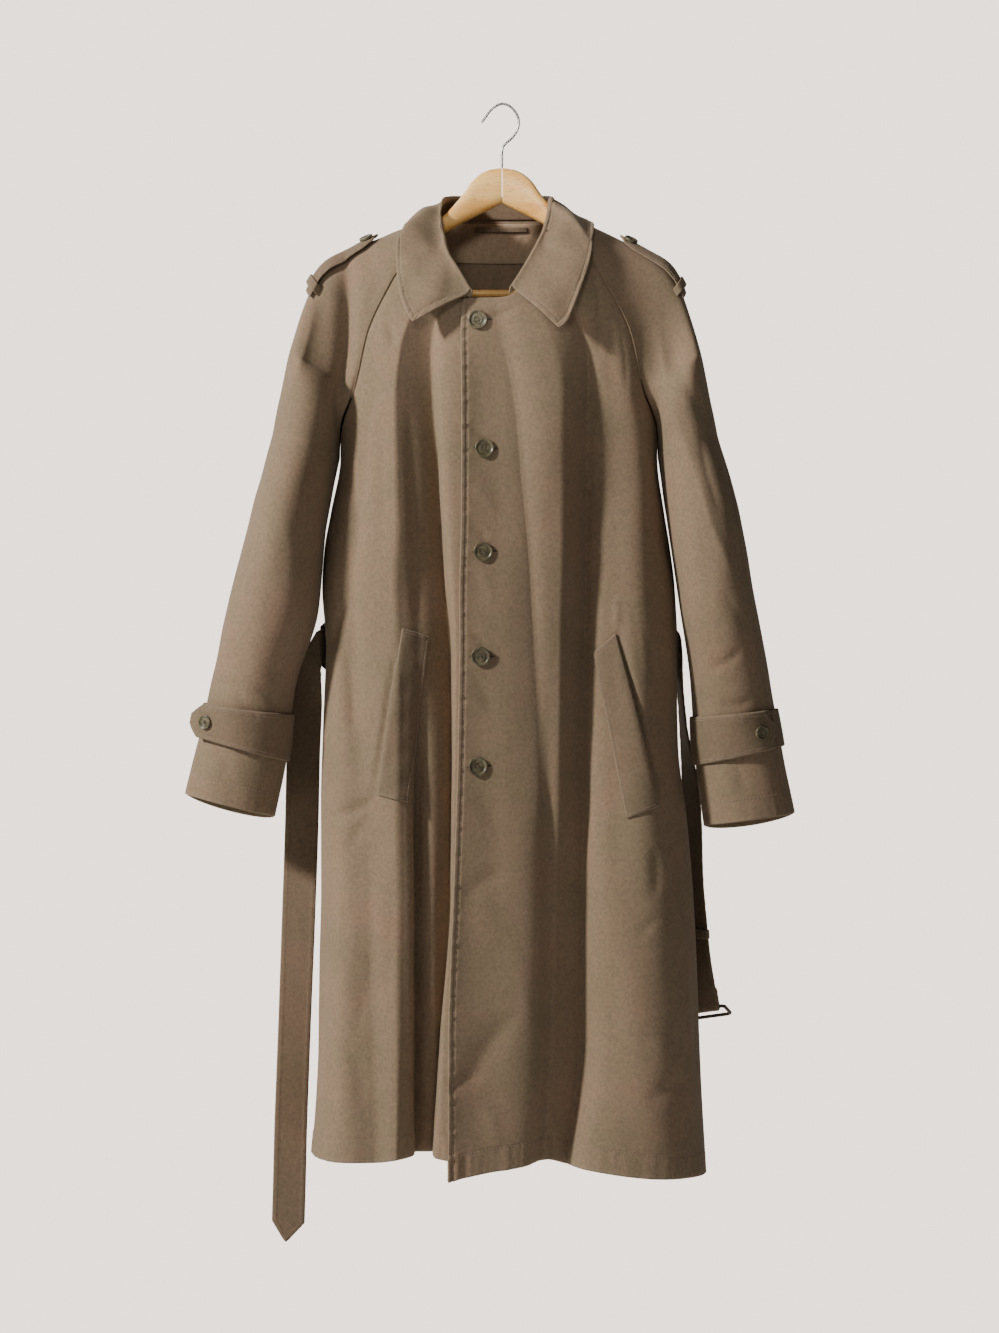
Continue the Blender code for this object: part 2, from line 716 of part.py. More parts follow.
def with_guards(values, low=None, high=None):
    """Add a value just inside either end, so that rims stay square."""
    out = list(values)
    if low:
        out.insert(1, out[0] + low)
    if high:
        out.insert(len(out) - 1, out[-1] - high)
    return out


PANEL_V = ([0, 0.14, 0.45, 0.75] + steps(1, 5, 14)
           + steps(5, 6, 2)[1:] + steps(6, 10, 8)[1:-1] + [9.85, 10])
SLEEVE_V = ([0, 0.15] + steps(0.5, 4, 7) + steps(4, 9, 11)[1:])


def build_panels():
    # columns between the lines crowd at the foot of a step
    after, before = (0.18, 0.5, 1.0), (0.5, 0.82, 1.0)
    even = (1 / 3, 2 / 3, 1.0)
    for name, panel, flip, low, runs in (
            ("front_left", FRONT_LEFT, False, 0.05,
             (even, after, even, after, even, even)),
            ("front_right", FRONT_RIGHT, True, None,
             (even, before, even, before, even, even))):
        us = [0.0]
        for line, run in enumerate(runs):
            us += [line + t for t in run]
        us = with_guards(us, low, 0.09)
        rows = [[panel.point(u, v) for u in us] for v in PANEL_V]
        sheet(name, pull_back(rows, first=False), CLOTH, flip)
    us = [0.0]
    for a in range(BACK.last):
        us += steps(a, a + 1, 3 if 1 < a < 6 else 2)[1:]
    us = with_guards(us, 0.09, 0.09)
    rows = [[BACK.point(u, v) for u in us] for v in PANEL_V]
    sheet("back", pull_back(rows), CLOTH, True)


def build_sleeves():
    """Front and back half of each sleeve, sewn along the top and below."""
    for side, sleeve in (("left", SLEEVE_LEFT), ("right", SLEEVE_RIGHT)):
        for half, first in (("front", 0), ("back", 1)):
            ws = with_guards(steps(first, first + 1, 8), 0.03, 0.03)
            rows = [[sleeve.point(w, v) for w in ws] for v in SLEEVE_V]
            sheet("sleeve_%s_%s" % (side, half),
                  pull_back(rows, top=False, bottom=True), CLOTH,
                  flip=sleeve.sign > 0)


def shoulder_tree():
    """The cloth's outer face round the neck, for laying the collar on."""
    points, faces = [], []

    def add(rows):
        base, wide = len(points), len(rows[0])
        for row in rows:
            points.extend(Vector(p) for p in row)
        for j in range(len(rows) - 1):
            for i in range(wide - 1):
                a = base + j * wide + i
                faces.append((a, a + 1, a + 1 + wide, a + wide))

    for panel in (FRONT_LEFT, FRONT_RIGHT, BACK):
        add([[panel.point(u, v) for u in steps(0, panel.last, 20)]
             for v in steps(6.5, 10, 14)])
    for sleeve in (SLEEVE_LEFT, SLEEVE_RIGHT):
        add([[sleeve.point(w, v) for w in steps(0, 2, 16)]
             for v in steps(0, 3, 12)])
    return BVHTree.FromPolygons(points, faces)


def clear_of(tree, point, gap):
    """The point, moved out from inside the coat to a gap over the cloth."""
    inside = np.array([point[0] * 0.5, 0.0, point[2] - 0.05])
    way = unit(point - inside)
    hit, _, _, dist = tree.ray_cast(Vector(inside), Vector(way), 0.25)
    if hit is None or np.linalg.norm(point - inside) > dist + gap:
        return point
    return inside + way * (dist + gap)


def collar_rows():
    """Sections of the collar: stand, roll and fall."""
    tree = shoulder_tree()
    stations = []
    for sleeve, front, table in (
            (SLEEVE_RIGHT, FRONT_RIGHT, COLLAR_RIGHT),
            (SLEEVE_LEFT, FRONT_LEFT, COLLAR_LEFT)):
        half = []
        for row in table:
            q = row[0] if sleeve is SLEEVE_RIGHT else 6 - row[0]
            half.append(np.array((q,) + tuple(c * MM for c in row[1:])))
        stations.append(half)
    line = np.array(stations[0] + stations[1][-2::-1])
    knots = np.arange(len(line))
    rows = []
    count = len(line) - 1
    for t in steps(0, count, 32):
        s = np.array([curve(knots, line[:, c], t) for c in range(7)])
        q, roll, edge = s[0], s[1:4], s[4:7]
        if q <= 3:
            neck = neck_point(SLEEVE_RIGHT, FRONT_RIGHT, q, COLLAR_GAP)
        else:
            neck = neck_point(SLEEVE_LEFT, FRONT_LEFT, 6 - q, COLLAR_GAP)
        out = edge - roll
        out[2] = 0
        out = unit(out)
        lip = roll + out * ROLL_D + np.array([0, 0, -0.0012])
        top = roll + out * ROLL_D * 0.5 + np.array([0, 0, ROLL_D * 0.45])
        mid = (roll + edge) / 2
        away = unit(np.array([mid[0] * 0.6, mid[1], 0]))
        near = min(t, count - t)
        bulge = np.interp(near, *np.array(FALL_BULGE).T) * MM
        rise = 0.9 * min(t, count - t, 4) / 4
        sag = unit(away + np.array([0, 0, rise])) * bulge
        fall = [lip, lip * 0.66 + edge * 0.34 + sag,
                lip * 0.33 + edge * 0.67 + sag, edge]
        fall = [clear_of(tree, p, g) for p, g in zip(fall, FALL_GAPS)]
        rows.append([neck, neck * 0.5 + roll * 0.5, roll, top] + fall)
    return rows


def build_collar():
    sheet("collar", collar_rows(), COLLAR_WALL, offset=0.0, even=False)


def build_facing():
    us = steps(0.6, BACK.last - 0.6, 18)
    vs = (9.36, 9.66, 9.955)
    rows = [[BACK.point(u, v, -CLOTH - 0.0009) for u in us] for v in vs]
    sheet("neck_facing", rows, CLOTH, True)
    loop = []
    for t in steps(-1, 1, 10):
        u = BACK.last / 2 + t * 0.95
        bow = -0.0055 - 0.0026 * math.cos(t * math.pi / 2)
        top = BACK.point(u, 9.90, bow)
        low = BACK.point(u, 9.83, bow)
        loop.append([top, low])
    sheet("hang_loop", loop, 0.0012, offset=0.0)


# ----------------------------------------------------- straps and welts
def panel_patch(name, panel, corners, lift, flip, rows=9, cols=4):
    """Strip on a panel between two edges given by X and Z."""
    open_a, open_b, sewn_a, sewn_b = [np.array(c) * MM for c in corners]
    grid = []
    for t in steps(0, 1, rows):
        line = []
        for s in steps(0, 1, cols):
            p = ((open_a * (1 - t) + open_b * t) * (1 - s)
                 + (sewn_a * (1 - t) + sewn_b * t) * s)
            u, v = panel.find(p[0], p[1])
            line.append(panel.point(u, v, lift))
        grid.append(line)
    return sheet(name, grid, DOUBLE, flip, offset=0.0)


def ribbon(name, left, right, wall, mat="cloth"):
    """Strip between two edge lines, with its wall to both sides."""
    rows = [[a, b] for a, b in zip(left, right)]
    return sheet(name, rows, wall, offset=0.0, mat=mat)


def build_epaulettes():
    for name, sleeve in (("left", SLEEVE_LEFT), ("right", SLEEVE_RIGHT)):
        # v along the shoulder, from the point near the collar to the cap;
        # half width in w, and how far the strap stands off the sleeve
        table = ((0.86, 0.02, 4.6), (0.96, 0.20, 4.2), (1.15, 0.24, 4.0),
                 (1.45, 0.23, 4.6), (1.75, 0.21, 6.2), (2.00, 0.20, 5.0),
                 (2.26, 0.19, 3.4))
        rows = []
        for v, half, lift in table:
            rows.append([sleeve.lifted(0.93 + half * s, v, lift * MM)
                         for s in (-1, -0.5, 0, 0.5, 1)])
        sheet("epaulette_" + name, rows, DOUBLE, offset=0.0)
        rows = []
        for w, lift in ((0.66, 1.4), (0.69, 4.6), (0.72, 8.0), (0.82, 8.3),
                        (0.93, 8.4), (1.04, 8.3), (1.14, 8.0),
                        (1.17, 4.6), (1.20, 1.4)):
            rows.append([sleeve.lifted(w, v, lift * MM)
                         for v in (2.04, 2.16)])
        sheet("epaulette_loop_" + name, rows, 0.0014, offset=0.0)


def cuff_strap_point(name, sleeve, t, s, off=0.0):
    """Point on a cuff strap: t halves of a turn from its start, s across."""
    mid, outside, inside, end, stand = CUFF_STRAPS[name]
    w = (0.54 + t) % 2.0
    half = outside + (inside - outside) * (1 + math.cos(math.pi * w)) / 2
    half *= min(1.0, 0.3 + 0.7 * (end - t) / 0.08)
    lift = 2.7 + 3.2 * min(max((t - 1.7) / 0.3, 0), 1)
    lift += stand * min(max((t - end + 0.3) / 0.3, 0), 1) ** 2
    return sleeve.lifted(w, mid + half * s, (lift + off) * MM)


def build_cuff_straps():
    """Each starts in front, goes round by the back and laps over itself."""
    for name, sleeve in (("left", SLEEVE_LEFT), ("right", SLEEVE_RIGHT)):
        end = CUFF_STRAPS[name][3]
        turns = steps(0.0, 2.0, 20) + [2.06, 2.12, end - 0.08, end]
        rows = [[cuff_strap_point(name, sleeve, t, s) for s in (-1, 0, 1)]
                for t in turns]
        sheet("cuff_strap_" + name, rows, DOUBLE, offset=0.0)


def build_belt():
    free = np.array(BELT_FREE, float) * MM
    buckle = np.array(BELT_BUCKLE, float) * MM
    a = smooth_run(free[:, :3], 22)[::-1]
    b = smooth_run(free[:, 3:], 22)[::-1]
    top, low = [], []
    for turn in steps(BELT_TURNS[0], BELT_TURNS[1], 24):
        angle = math.radians(turn)
        top.append(hull_point(angle, BELT_Z + BELT_W / 2, BELT_LIFT))
        low.append(hull_point(angle, BELT_Z - BELT_W / 2, BELT_LIFT))
    c = smooth_run(buckle[:, :3], 18)
    d = smooth_run(buckle[:, 3:], 18)
    # the end goes round the buckle's frame and up again behind
    mid, across, down, out, _ = buckle_axes()
    for turn, rise in ((40, 0), (90, 0), (140, 0), (180, 0), (180, 10),
                       (180, 22)):
        a0 = math.radians(turn)
        near = 0.0012 * min(rise / 10, 1)
        p = (mid + out * (math.cos(a0) * WRAP_R + near)
             + down * (math.sin(a0) * WRAP_R - rise * MM))
        c.append(p - across * BELT_W * 0.48)
        d.append(p + across * BELT_W * 0.48)
    tip = np.array(BELT_FREE_TIP) * MM
    width = (b[0] - a[0]) * 0.08
    ribbon("belt", [tip - width] + a + top + c, [tip + width] + b + low + d,
           0.0024)


def build_belt_loops():
    for name, angle in LOOP_TURNS:
        rows = []
        for dz, out in ((29, 1.8), (26.5, 4.6), (23.0, 8.2), (12, 9.0),
                        (0, 9.2), (-12, 9.0), (-23.0, 8.2), (-26.5, 4.6),
                        (-29, 1.8)):
            rows.append([hull_point(math.radians(angle + s), BELT_Z
                                    + dz * MM, out * MM)
                         for s in (-3.5, 3.5)])
        sheet("belt_loop_" + name, rows, 0.0014, offset=0.0)


# ------------------------------------------------------------ hard parts
def turned(name, profile, place, mat, steps_round=14):
    """Profile (radius, height) turned about Z, then placed."""
    mesh = bpy.data.meshes.new(name)
    bm = bmesh.new()
    verts = [bm.verts.new((r, 0, z)) for r, z in profile]
    for a, b in zip(verts, verts[1:]):
        bm.edges.new((a, b))
    bm.to_mesh(mesh)
    bm.free()
    ob = add_object(name, mesh, mat)
    screw = ob.modifiers.new("turn", "SCREW")
    screw.steps = steps_round
    screw.render_steps = steps_round
    screw.use_merge_vertices = True
    screw.merge_threshold = 0.00005
    screw.use_smooth_shade = True
    ob.matrix_world = place
    return ob


def facing(point, out, up=(0, 0, 1)):
    """Matrix at a point with its Z along out."""
    z = Vector(out).normalized()
    x = Vector(up).cross(z).normalized()
    y = z.cross(x)
    m = Matrix((x, y, z)).transposed().to_4x4()
    m.translation = Vector(point)
    return m


def button(name, point, out, radius, tilt=0.0):
    t = BUTTON_T
    rim = 0.82 * radius
    profile = [(0, t * 0.66), (rim * 0.86, t * 0.66), (rim, t),
               (radius * 0.93, t), (radius, t * 0.62), (radius, t * 0.3),
               (radius * 0.8, 0), (0, 0)]
    place = facing(point, out) @ Matrix.Rotation(tilt, 4, "X")
    return turned(name, profile, place, "horn")


def build_buttons():
    tilts = (0, 0, 0, 8, 0)
    for k, ((x, z), tilt) in enumerate(zip(BUTTONS, tilts)):
        u, v = FRONT_LEFT.find(x * MM, z * MM)
        p = FRONT_LEFT.point(u, v)
        n = unit(np.cross(FRONT_LEFT.point(u + 0.05, v)
                          - FRONT_LEFT.point(u - 0.05, v),
                          FRONT_LEFT.point(u, v + 0.03)
                          - FRONT_LEFT.point(u, v - 0.03)))
        off = 0.0016 + 0.0016 * (tilt > 0)
        button("button_%d" % (k + 1), p + n * off, n, BUTTON_R,
               math.radians(tilt))
    for name, sleeve in (("left", SLEEVE_LEFT), ("right", SLEEVE_RIGHT)):
        at = CUFF_STRAPS[name][3] - 0.13
        p = cuff_strap_point(name, sleeve, at, 0)
        n = unit(np.cross(cuff_strap_point(name, sleeve, at + 0.03, 0)
                          - cuff_strap_point(name, sleeve, at - 0.03, 0),
                          cuff_strap_point(name, sleeve, at, 0.2)
                          - cuff_strap_point(name, sleeve, at, -0.2)))
        if n @ (cuff_strap_point(name, sleeve, at, 0, 1.0) - p) < 0:
            n = -n
        button("cuff_button_" + name, p + n * 0.0023, n, CUFF_BUTTON_R)
        n = -normal(sleeve.point, 0.88, 1.06) * sleeve.sign
        p = sleeve.lifted(0.88, 1.06, 0.0066)
        button("epaulette_button_" + name, p, n, CUFF_BUTTON_R)


def wire(name, points, radius, mat, cyclic=False, resolution=2):
    data = bpy.data.curves.new(name, "CURVE")
    data.dimensions = "3D"
    line = data.splines.new("POLY")
    line.points.add(len(points) - 1)
    for p, q in zip(line.points, points):
        p.co = (q[0], q[1], q[2], 1)
    line.use_cyclic_u = cyclic
    data.bevel_depth = radius
    data.bevel_resolution = resolution
    data.use_fill_caps = not cyclic
    return add_object(name, data, mat)


def buckle_axes():
    """Bar the belt goes round: its middle, its way, the belt's way down and
    out, and the way the frame points."""
    rows = np.array(BELT_BUCKLE, float)[-1] * MM
    across = unit(rows[3:] - rows[:3])
    down = unit(np.array([0.03, -0.10, -1.0]))
    down = unit(down - across * np.dot(down, across))
    out = np.cross(across, down)
    mid = (rows[:3] + rows[3:]) / 2 - out * WRAP_R + down * 0.004
    frame = unit(np.array([0.05, 0.93, -0.36]))
    frame = unit(frame - across * np.dot(frame, across))
    return mid, across, down, out, frame


def build_buckle():
    mid, across, _, _, down = buckle_axes()
    r = 0.006
    ring = []
    for sx, sy, first in ((1, 0, 90), (1, 1, 0), (-1, 1, -90),
                          (-1, 0, -180)):
        corner = (mid + across * sx * (BUCKLE_W / 2 - r)
                  + down * (r + sy * (BUCKLE_H - 2 * r)))
        for t in (0, 30, 60, 90):
            a = math.radians(first - t)
            ring.append(corner + across * r * math.cos(a)
                        - down * r * math.sin(a))
    wire("buckle_frame", ring, BUCKLE_WIRE_R, "leather", cyclic=True,
         resolution=2)


def build_keeper():
    """Small loop round the belt above the buckle."""
    buckle = np.array(BELT_BUCKLE, float) * MM
    a = smooth_run(buckle[:, :3], 60)
    b = smooth_run(buckle[:, 3:], 60)
    k = min(range(len(a)), key=lambda i: abs(a[i][2] - KEEPER_Z))
    mid = (a[k] + b[k]) / 2
    across = unit(b[k] - a[k])
    down = unit((a[k + 1] + b[k + 1]) / 2 - mid)
    out = np.cross(across, down)
    rows = []
    for turn in steps(0, 360, 16)[:-1]:
        t = math.radians(turn)
        x = math.copysign(abs(math.cos(t)) ** 0.35, math.cos(t))
        y = math.copysign(abs(math.sin(t)) ** 0.8, math.sin(t))
        p = mid + across * x * (BELT_W / 2 + 0.0022) + out * y * 0.0034
        rows.append([p - down * LOOP_W / 2, p + down * LOOP_W / 2])
    rows.append(rows[0])
    ring = [list(r) for r in zip(*rows)]
    sheet("belt_keeper", ring, 0.0014, offset=0.0, closed_from=0)


def build_hanger():
    for name, sign in (("hanger_arm_left", 1), ("hanger_arm_right", -1)):
        rows = []
        table = np.array(ARM, float) * MM
        stations = np.arange(len(table))
        ring = steps(0, 2 * math.pi, 12)[:-1]
        for t in steps(0, len(table) - 1, len(table) - 1):
            x, top, low, y, half = [curve(stations, table[:, c], t)
                                    for c in range(5)]
            row = []
            for a in ring:
                c, s = math.cos(a), math.sin(a)
                row.append((x * sign,
                            y + half * math.copysign(abs(c) ** 0.6, c),
                            (top + low) / 2 + (top - low) / 2
                            * math.copysign(abs(s) ** 0.8, s)))
            rows.append(row)
        bm = bmesh.new()
        loops = [[bm.verts.new(p) for p in row] for row in rows]
        count = len(ring)
        for a, b in zip(loops, loops[1:]):
            for i in range(count):
                j = (i + 1) % count
                bm.faces.new((a[i], a[j], b[j], b[i]))
        bm.faces.new(loops[0])
        bm.faces.new(loops[-1])
        bmesh.ops.recalc_face_normals(bm, faces=bm.faces)
        mesh = bpy.data.meshes.new(name)
        bm.to_mesh(mesh)
        bm.free()
        mesh.shade_smooth()
        add_object(name, mesh, "wood")
    wire("hanger_bar", [(-0.166, BAR_Y, BAR_Z), (0.166, BAR_Y, BAR_Z)],
         BAR_R, "wood", resolution=4)
    route = [(x * MM, 0.0, z * MM) for x, z in HOOK]
    wire("hanger_hook", smooth_run(route, 34), HOOK_R, "steel")


def main():
    for ob in list(bpy.data.objects):
        bpy.data.objects.remove(ob)
    bpy.context.scene.collection.children.link(COLLECTION)
    build_panels()
    build_sleeves()
    build_collar()
    build_facing()
    build_epaulettes()
    build_cuff_straps()
    panel_patch("pocket_welt_left", FRONT_LEFT, WELT_LEFT, 0.0032, True)
    panel_patch("pocket_welt_right", FRONT_RIGHT, WELT_RIGHT, 0.0032,
                False)
    build_belt()
    build_belt_loops()
    build_buttons()
    build_buckle()
    build_keeper()
    build_hanger()
    bpy.context.view_layer.update()


main()
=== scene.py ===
"""Trench coat on a wooden hanger, dressed: cloth with its folds and sewing,
turned buttons, a covered buckle, the wooden hanger and its wire hook.

Metres, +Z up, the coat's front faces -Y, the origin is the inner top of the
hook.  "left" and "right" are the wearer's.  Tables are in millimetres.
"""
import json
import math

import bmesh
import bpy
import numpy as np
from mathutils import Matrix, Vector
from mathutils.bvhtree import BVHTree

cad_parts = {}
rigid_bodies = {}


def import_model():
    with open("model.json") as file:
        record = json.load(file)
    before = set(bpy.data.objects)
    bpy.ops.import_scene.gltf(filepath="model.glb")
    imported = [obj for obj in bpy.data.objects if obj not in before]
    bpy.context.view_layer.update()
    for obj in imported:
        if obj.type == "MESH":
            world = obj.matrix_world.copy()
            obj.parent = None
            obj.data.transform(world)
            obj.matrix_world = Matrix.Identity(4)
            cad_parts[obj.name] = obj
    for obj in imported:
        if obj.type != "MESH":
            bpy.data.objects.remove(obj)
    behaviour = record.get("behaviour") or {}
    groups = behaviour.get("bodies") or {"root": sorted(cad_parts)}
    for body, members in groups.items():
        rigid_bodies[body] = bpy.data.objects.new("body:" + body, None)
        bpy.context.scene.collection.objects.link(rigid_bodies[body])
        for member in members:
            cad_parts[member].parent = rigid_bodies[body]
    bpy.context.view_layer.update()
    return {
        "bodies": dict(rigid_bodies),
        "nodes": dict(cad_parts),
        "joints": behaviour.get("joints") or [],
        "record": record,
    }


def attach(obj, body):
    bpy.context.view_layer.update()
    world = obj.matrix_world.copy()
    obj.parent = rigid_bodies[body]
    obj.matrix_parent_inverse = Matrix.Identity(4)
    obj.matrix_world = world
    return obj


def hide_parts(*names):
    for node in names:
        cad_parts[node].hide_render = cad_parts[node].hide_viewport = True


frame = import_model()

# ---------------------------------------------------------------- sizes
MM = 0.001
CLOTH = 0.0014
DOUBLE = 0.0022           # straps, welts and loops: two layers, stitched
COLLAR_WALL = 0.0021
COLLAR_GAP = 0.0026       # the stand's middle past the neck seam
# The fall over its straight line: station from an end, mm.
FALL_BULGE = ((0, 3.0), (2, 6.0), (4, 6.4), (5.3, 4.6), (6.4, 1.6), (10, 2.5))
ROLL_D = 0.0052           # the fold's width at the roll line
FALL_GAPS = (0.0036, 0.0062, 0.0060, 0.0050)   # fall over the coat
SEAM = 0.00035            # half of the gap at a seam
LAP_GAP = 0.0048          # under front below the top front
BUTTON_R = 0.0115
CUFF_BUTTON_R = 0.0085
BUTTON_T = 0.0034
BELT_W = 0.039
LOOP_W = 0.010
HOOK_R = 0.0015
BAR_R = 0.0046
STITCH = 0.0031           # one stitch
PITCH = 0.0045            # stitch and gap
EDGE_SEW = 0.0058         # topstitching, in from an edge
HEM_SEW = 0.0275          # hem stitching, up from the hem

ARMPIT, NECK = 6, 10

# The section without folds, by height: half widths, depths.
#        z     right  left  front  back
HULL = (
    (-1310, 235.0, 250.0, 121, 117),
    (-1200, 226.0, 243.5, 117, 112),
    (-1143, 223.5, 241.0, 115, 110),
    (-1027, 222.0, 236.5, 111, 106),
    (-960, 220.5, 233.0, 110, 104),
    (-867, 220.3, 225.0, 107, 101),
    (-782, 218.0, 215.0, 105, 99),
    (-714, 216.0, 213.5, 104, 98),
    (-660, 214.5, 214.0, 103, 97),
    (-589, 219.5, 210.8, 102, 96),
    (-540, 216.2, 204.6, 102, 95),
    (-498, 208.6, 198.0, 101, 94),
    (-430, 197.0, 189.5, 100, 92),
    (-300, 197.0, 189.5, 94, 82),
    (-244, 197.0, 189.5, 88, 74),
    (-165, 197.0, 189.5, 65, 62),
    (-125, 197.0, 189.5, 57, 56),
)
HULL_POWER = 2.4

# Wearer's left front, the one on top: X of its lines, hem to neck.
#     edge  valley 2 ridge 2 valley 3 ridge 3 turn  side
LEFT_X = (
    (-63.6, 36.0, 56.0, 84.5, 122.0, 198.0, None),
    (-63.7, 46.0, 66.0, 104.8, 142.0, 198.0, None),
    (-57.5, 46.0, 70.0, 106.0, 143.0, 193.0, None),
    (-52.5, 46.6, 72.0, 106.0, 143.0, 182.0, None),
    (-50.0, 38.4, 72.0, 108.5, 143.0, 176.0, None),
    (-48.8, 31.6, 73.5, 109.5, 143.0, 174.0, None),
    (-47.6, 21.8, 73.5, 112.5, 145.0, 172.0, None),
    (-47.6, 16.0, 73.0, 112.0, 136.0, 156.0, 170.5),
    (-48.2, 6.5, 66.0, 107.0, 128.0, 143.0, 153.5),
    (-48.8, -4.0, 48.0, 84.0, 101.0, 113.0, 121.0),
    (-46.4, -8.0, 24.0, 48.0, 65.0, 78.0, 88.0),
)
LEFT_DEPTH = (
    (0, 37, 50, 66, 21, 2, 0),
    (0, 32, 45, 62, 20, 1, 0),
    (0, 25, 37, 56, 18, 1, 0),
    (0, 18, 22, 48, 16, 0, 0),
    (0, 15, 10, 41, 15, 0, 0),
    (0, 13, 5, 37, 14, 0, 0),
    (0, 12, 3, 33, 13, 0, 0),
    (0, 11, 2, 28, 10, 0, 0),
    (0, 9, 1, 19, 6, 0, 0),
    (1, 6, 0, 10, 3, 0, 0),
    (2, 2, 1, 1, 0, 0, 0),
)
LEFT_HEM_Z = (-1296, -1280, -1276, -1283, -1289, -1298, -1300)
LEFT_NECK_Z = (-244, -244, -233, -215, -198, -181, -165)
FRONT_LEFT_Z = ((-1290, -1300), (-1140, -1140), (-960, -960), (-800, -800),
                (-640, -640), (-540, -540), (-430, -430), (-375, -350),
                (-325, -280), (-280, -217), (-244, -165))

# Wearer's right front, the one below.
#   under edge lap valley 1 ridge 1 valley 4 turn  side
RIGHT_X = (
    (14.0, -62.0, -93.0, -132.0, -165.0, -200.0, None),
    (14.0, -62.0, -82.0, -130.0, -168.0, -196.0, None),
    (14.0, -54.0, -68.0, -128.0, -170.0, -196.0, None),
    (14.0, -49.0, -65.0, -127.0, -172.0, -196.0, None),
    (14.0, -47.0, -68.0, -126.5, -180.0, -201.0, None),
    (14.0, -46.0, -77.0, -126.5, -178.0, -200.0, None),
    (14.0, -45.0, -84.5, -127.0, -165.0, -182.0, None),
    (10.0, -45.0, -88.5, -128.0, -153.0, -167.0, -178.0),
    (3.0, -45.0, -89.0, -122.0, -141.0, -152.0, -161.0),
    (7.0, -45.0, -80.0, -103.0, -116.0, -124.0, -130.0),
    (14.0, -42.0, -60.0, -75.0, -85.0, -91.0, -96.0),
)
RIGHT_DEPTH = (
    (8, 14, 66, 22, 18, 0, 0),
    (6, 14, 63, 19, 15, 0, 0),
    (5, 14, 58, 14, 11, 0, 0),
    (5, 12, 51, 8, 8, 0, 0),
    (5, 9, 46, 4, 8, 0, 0),
    (5, 7, 43, 2, 8, 0, 0),
    (5, 6, 39, 0, 4, 0, 0),
    (5, 6, 34, 0, 1, 0, 0),
    (5, 6, 24, 0, 0, 0, 0),
    (5, 6, 12, 0, 0, 0, 0),
    (6, 6, 4, 0, 0, 0, 0),
)
RIGHT_HEM_Z = (-1273, -1273, -1269, -1275, -1279, -1279, -1276)
RIGHT_NECK_Z = (-247, -246, -233, -214, -199, -185, -170)
FRONT_RIGHT_Z = ((-1273, -1276), (-1140, -1140), (-960, -960), (-800, -800),
                 (-640, -640), (-540, -540), (-430, -430), (-375, -350),
                 (-325, -280), (-280, -217), (-247, -170))

# Back, from the wearer's right side to the left one.
BACK_X = (
    (None, -198, -150, -92, -22, 58, 118, 196, None),
    (None, -195, -146, -90, -20, 60, 120, 194, None),
    (None, -192, -140, -86, -16, 62, 122, 188, None),
    (None, -188, -136, -82, -12, 64, 122, 182, None),
    (None, -186, -132, -78, -8, 66, 122, 178, None),
    (None, -186, -130, -76, -4, 66, 122, 174, None),
    (None, -180, -128, -74, 0, 66, 122, 170, None),
    (-177, -162, -122, -70, 0, 64, 116, 156, 171),
    (-156, -143, -112, -62, 0, 58, 106, 138, 151),
    (-122, -112, -88, -48, 0, 46, 84, 108, 118),
    (-80, -74, -56, -32, 0, 30, 52, 70, 76),
)
BACK_DEPTH = (
    (0, 0, 4, 34, 3, 27, 4, 0, 0),
    (0, 0, 3, 29, 2, 23, 3, 0, 0),
    (0, 0, 2, 23, 1, 19, 2, 0, 0),
    (0, 0, 1, 17, 1, 15, 1, 0, 0),
    (0, 0, 1, 12, 1, 11, 1, 0, 0),
    (0, 0, 1, 10, 0, 8, 1, 0, 0),
    (0, 0, 0, 7, 0, 6, 0, 0, 0),
    (0, 0, 0, 5, 0, 4, 0, 0, 0),
    (0, 0, 0, 3, 0, 3, 0, 0, 0),
    (0, 0, 0, 2, 0, 1, 0, 0, 0),
    (0, 0, 0, 0, 0, 0, 0, 0, 0),
)
BACK_HEM_Z = (-1276, -1280, -1284, -1274, -1288, -1280, -1292, -1299, -1300)
BACK_NECK_Z = (-137, -136, -135, -135, -135, -135, -135, -136, -137)
BACK_Z = ((-1276, -1288, -1300), (-1140, -1140, -1140), (-960, -960, -960),
          (-800, -800, -800), (-640, -640, -640), (-540, -540, -540),
          (-430, -430, -430), (-360, -360, -360), (-290, -290, -290),
          (-213, -215, -213), (-137, -135, -137))

# Shoulder line and reach of the sleeve's arcs, from the neck to the armpit.
#     x    y    z   seam  top
CAP_LEFT = ((92, -6, -141, 16, 14), (150, -18, -171, 34, 26),
            (209, -28, -215, 52, 40), (240, -22, -305, 72, 76),
            (261, -10, -404, 104, 104))
CAP_RIGHT = ((97, -6, -143, 16, 14), (158, -18, -169, 34, 26),
             (222, -28, -213, 52, 40), (256, -22, -303, 73, 77),
             (280, -10, -404, 106, 106))
# Sleeve below the armpit.
#     x in  z in  x out  z out   y   half depth
TUBE_LEFT = ((190, -430, 261, -404, -10, 78), (202, -520, 287, -500, -32, 72),
             (215, -612, 304, -590, -34, 64), (228, -700, 322, -682, -22, 57),
             (235, -800, 339, -783, -12, 50), (245, -877, 355, -862, -12, 46))
TUBE_RIGHT = ((198, -430, 280, -404, -10, 80),
              (213.5, -518, 303, -496, -32, 74),
              (222.5, -618, 328, -596, -34, 66),
              (251, -712, 350, -690, -22, 58),
              (262, -800, 371, -776, -12, 51),
              (276, -866, 387, -838, -12, 47))
CUFF_BACK_DROP = 0.011

# Cuff straps: v of the middle, half width in v outside and inside the arm,
# where the end lies, and how far it stands off the sleeve.
#           middle outside inside  end  stand
CUFF_STRAPS = {
    "left": (7.755, 0.218, 0.292, 2.26, 0.0),
    "right": (7.665, 0.222, 0.322, 2.36, 10.0),
}

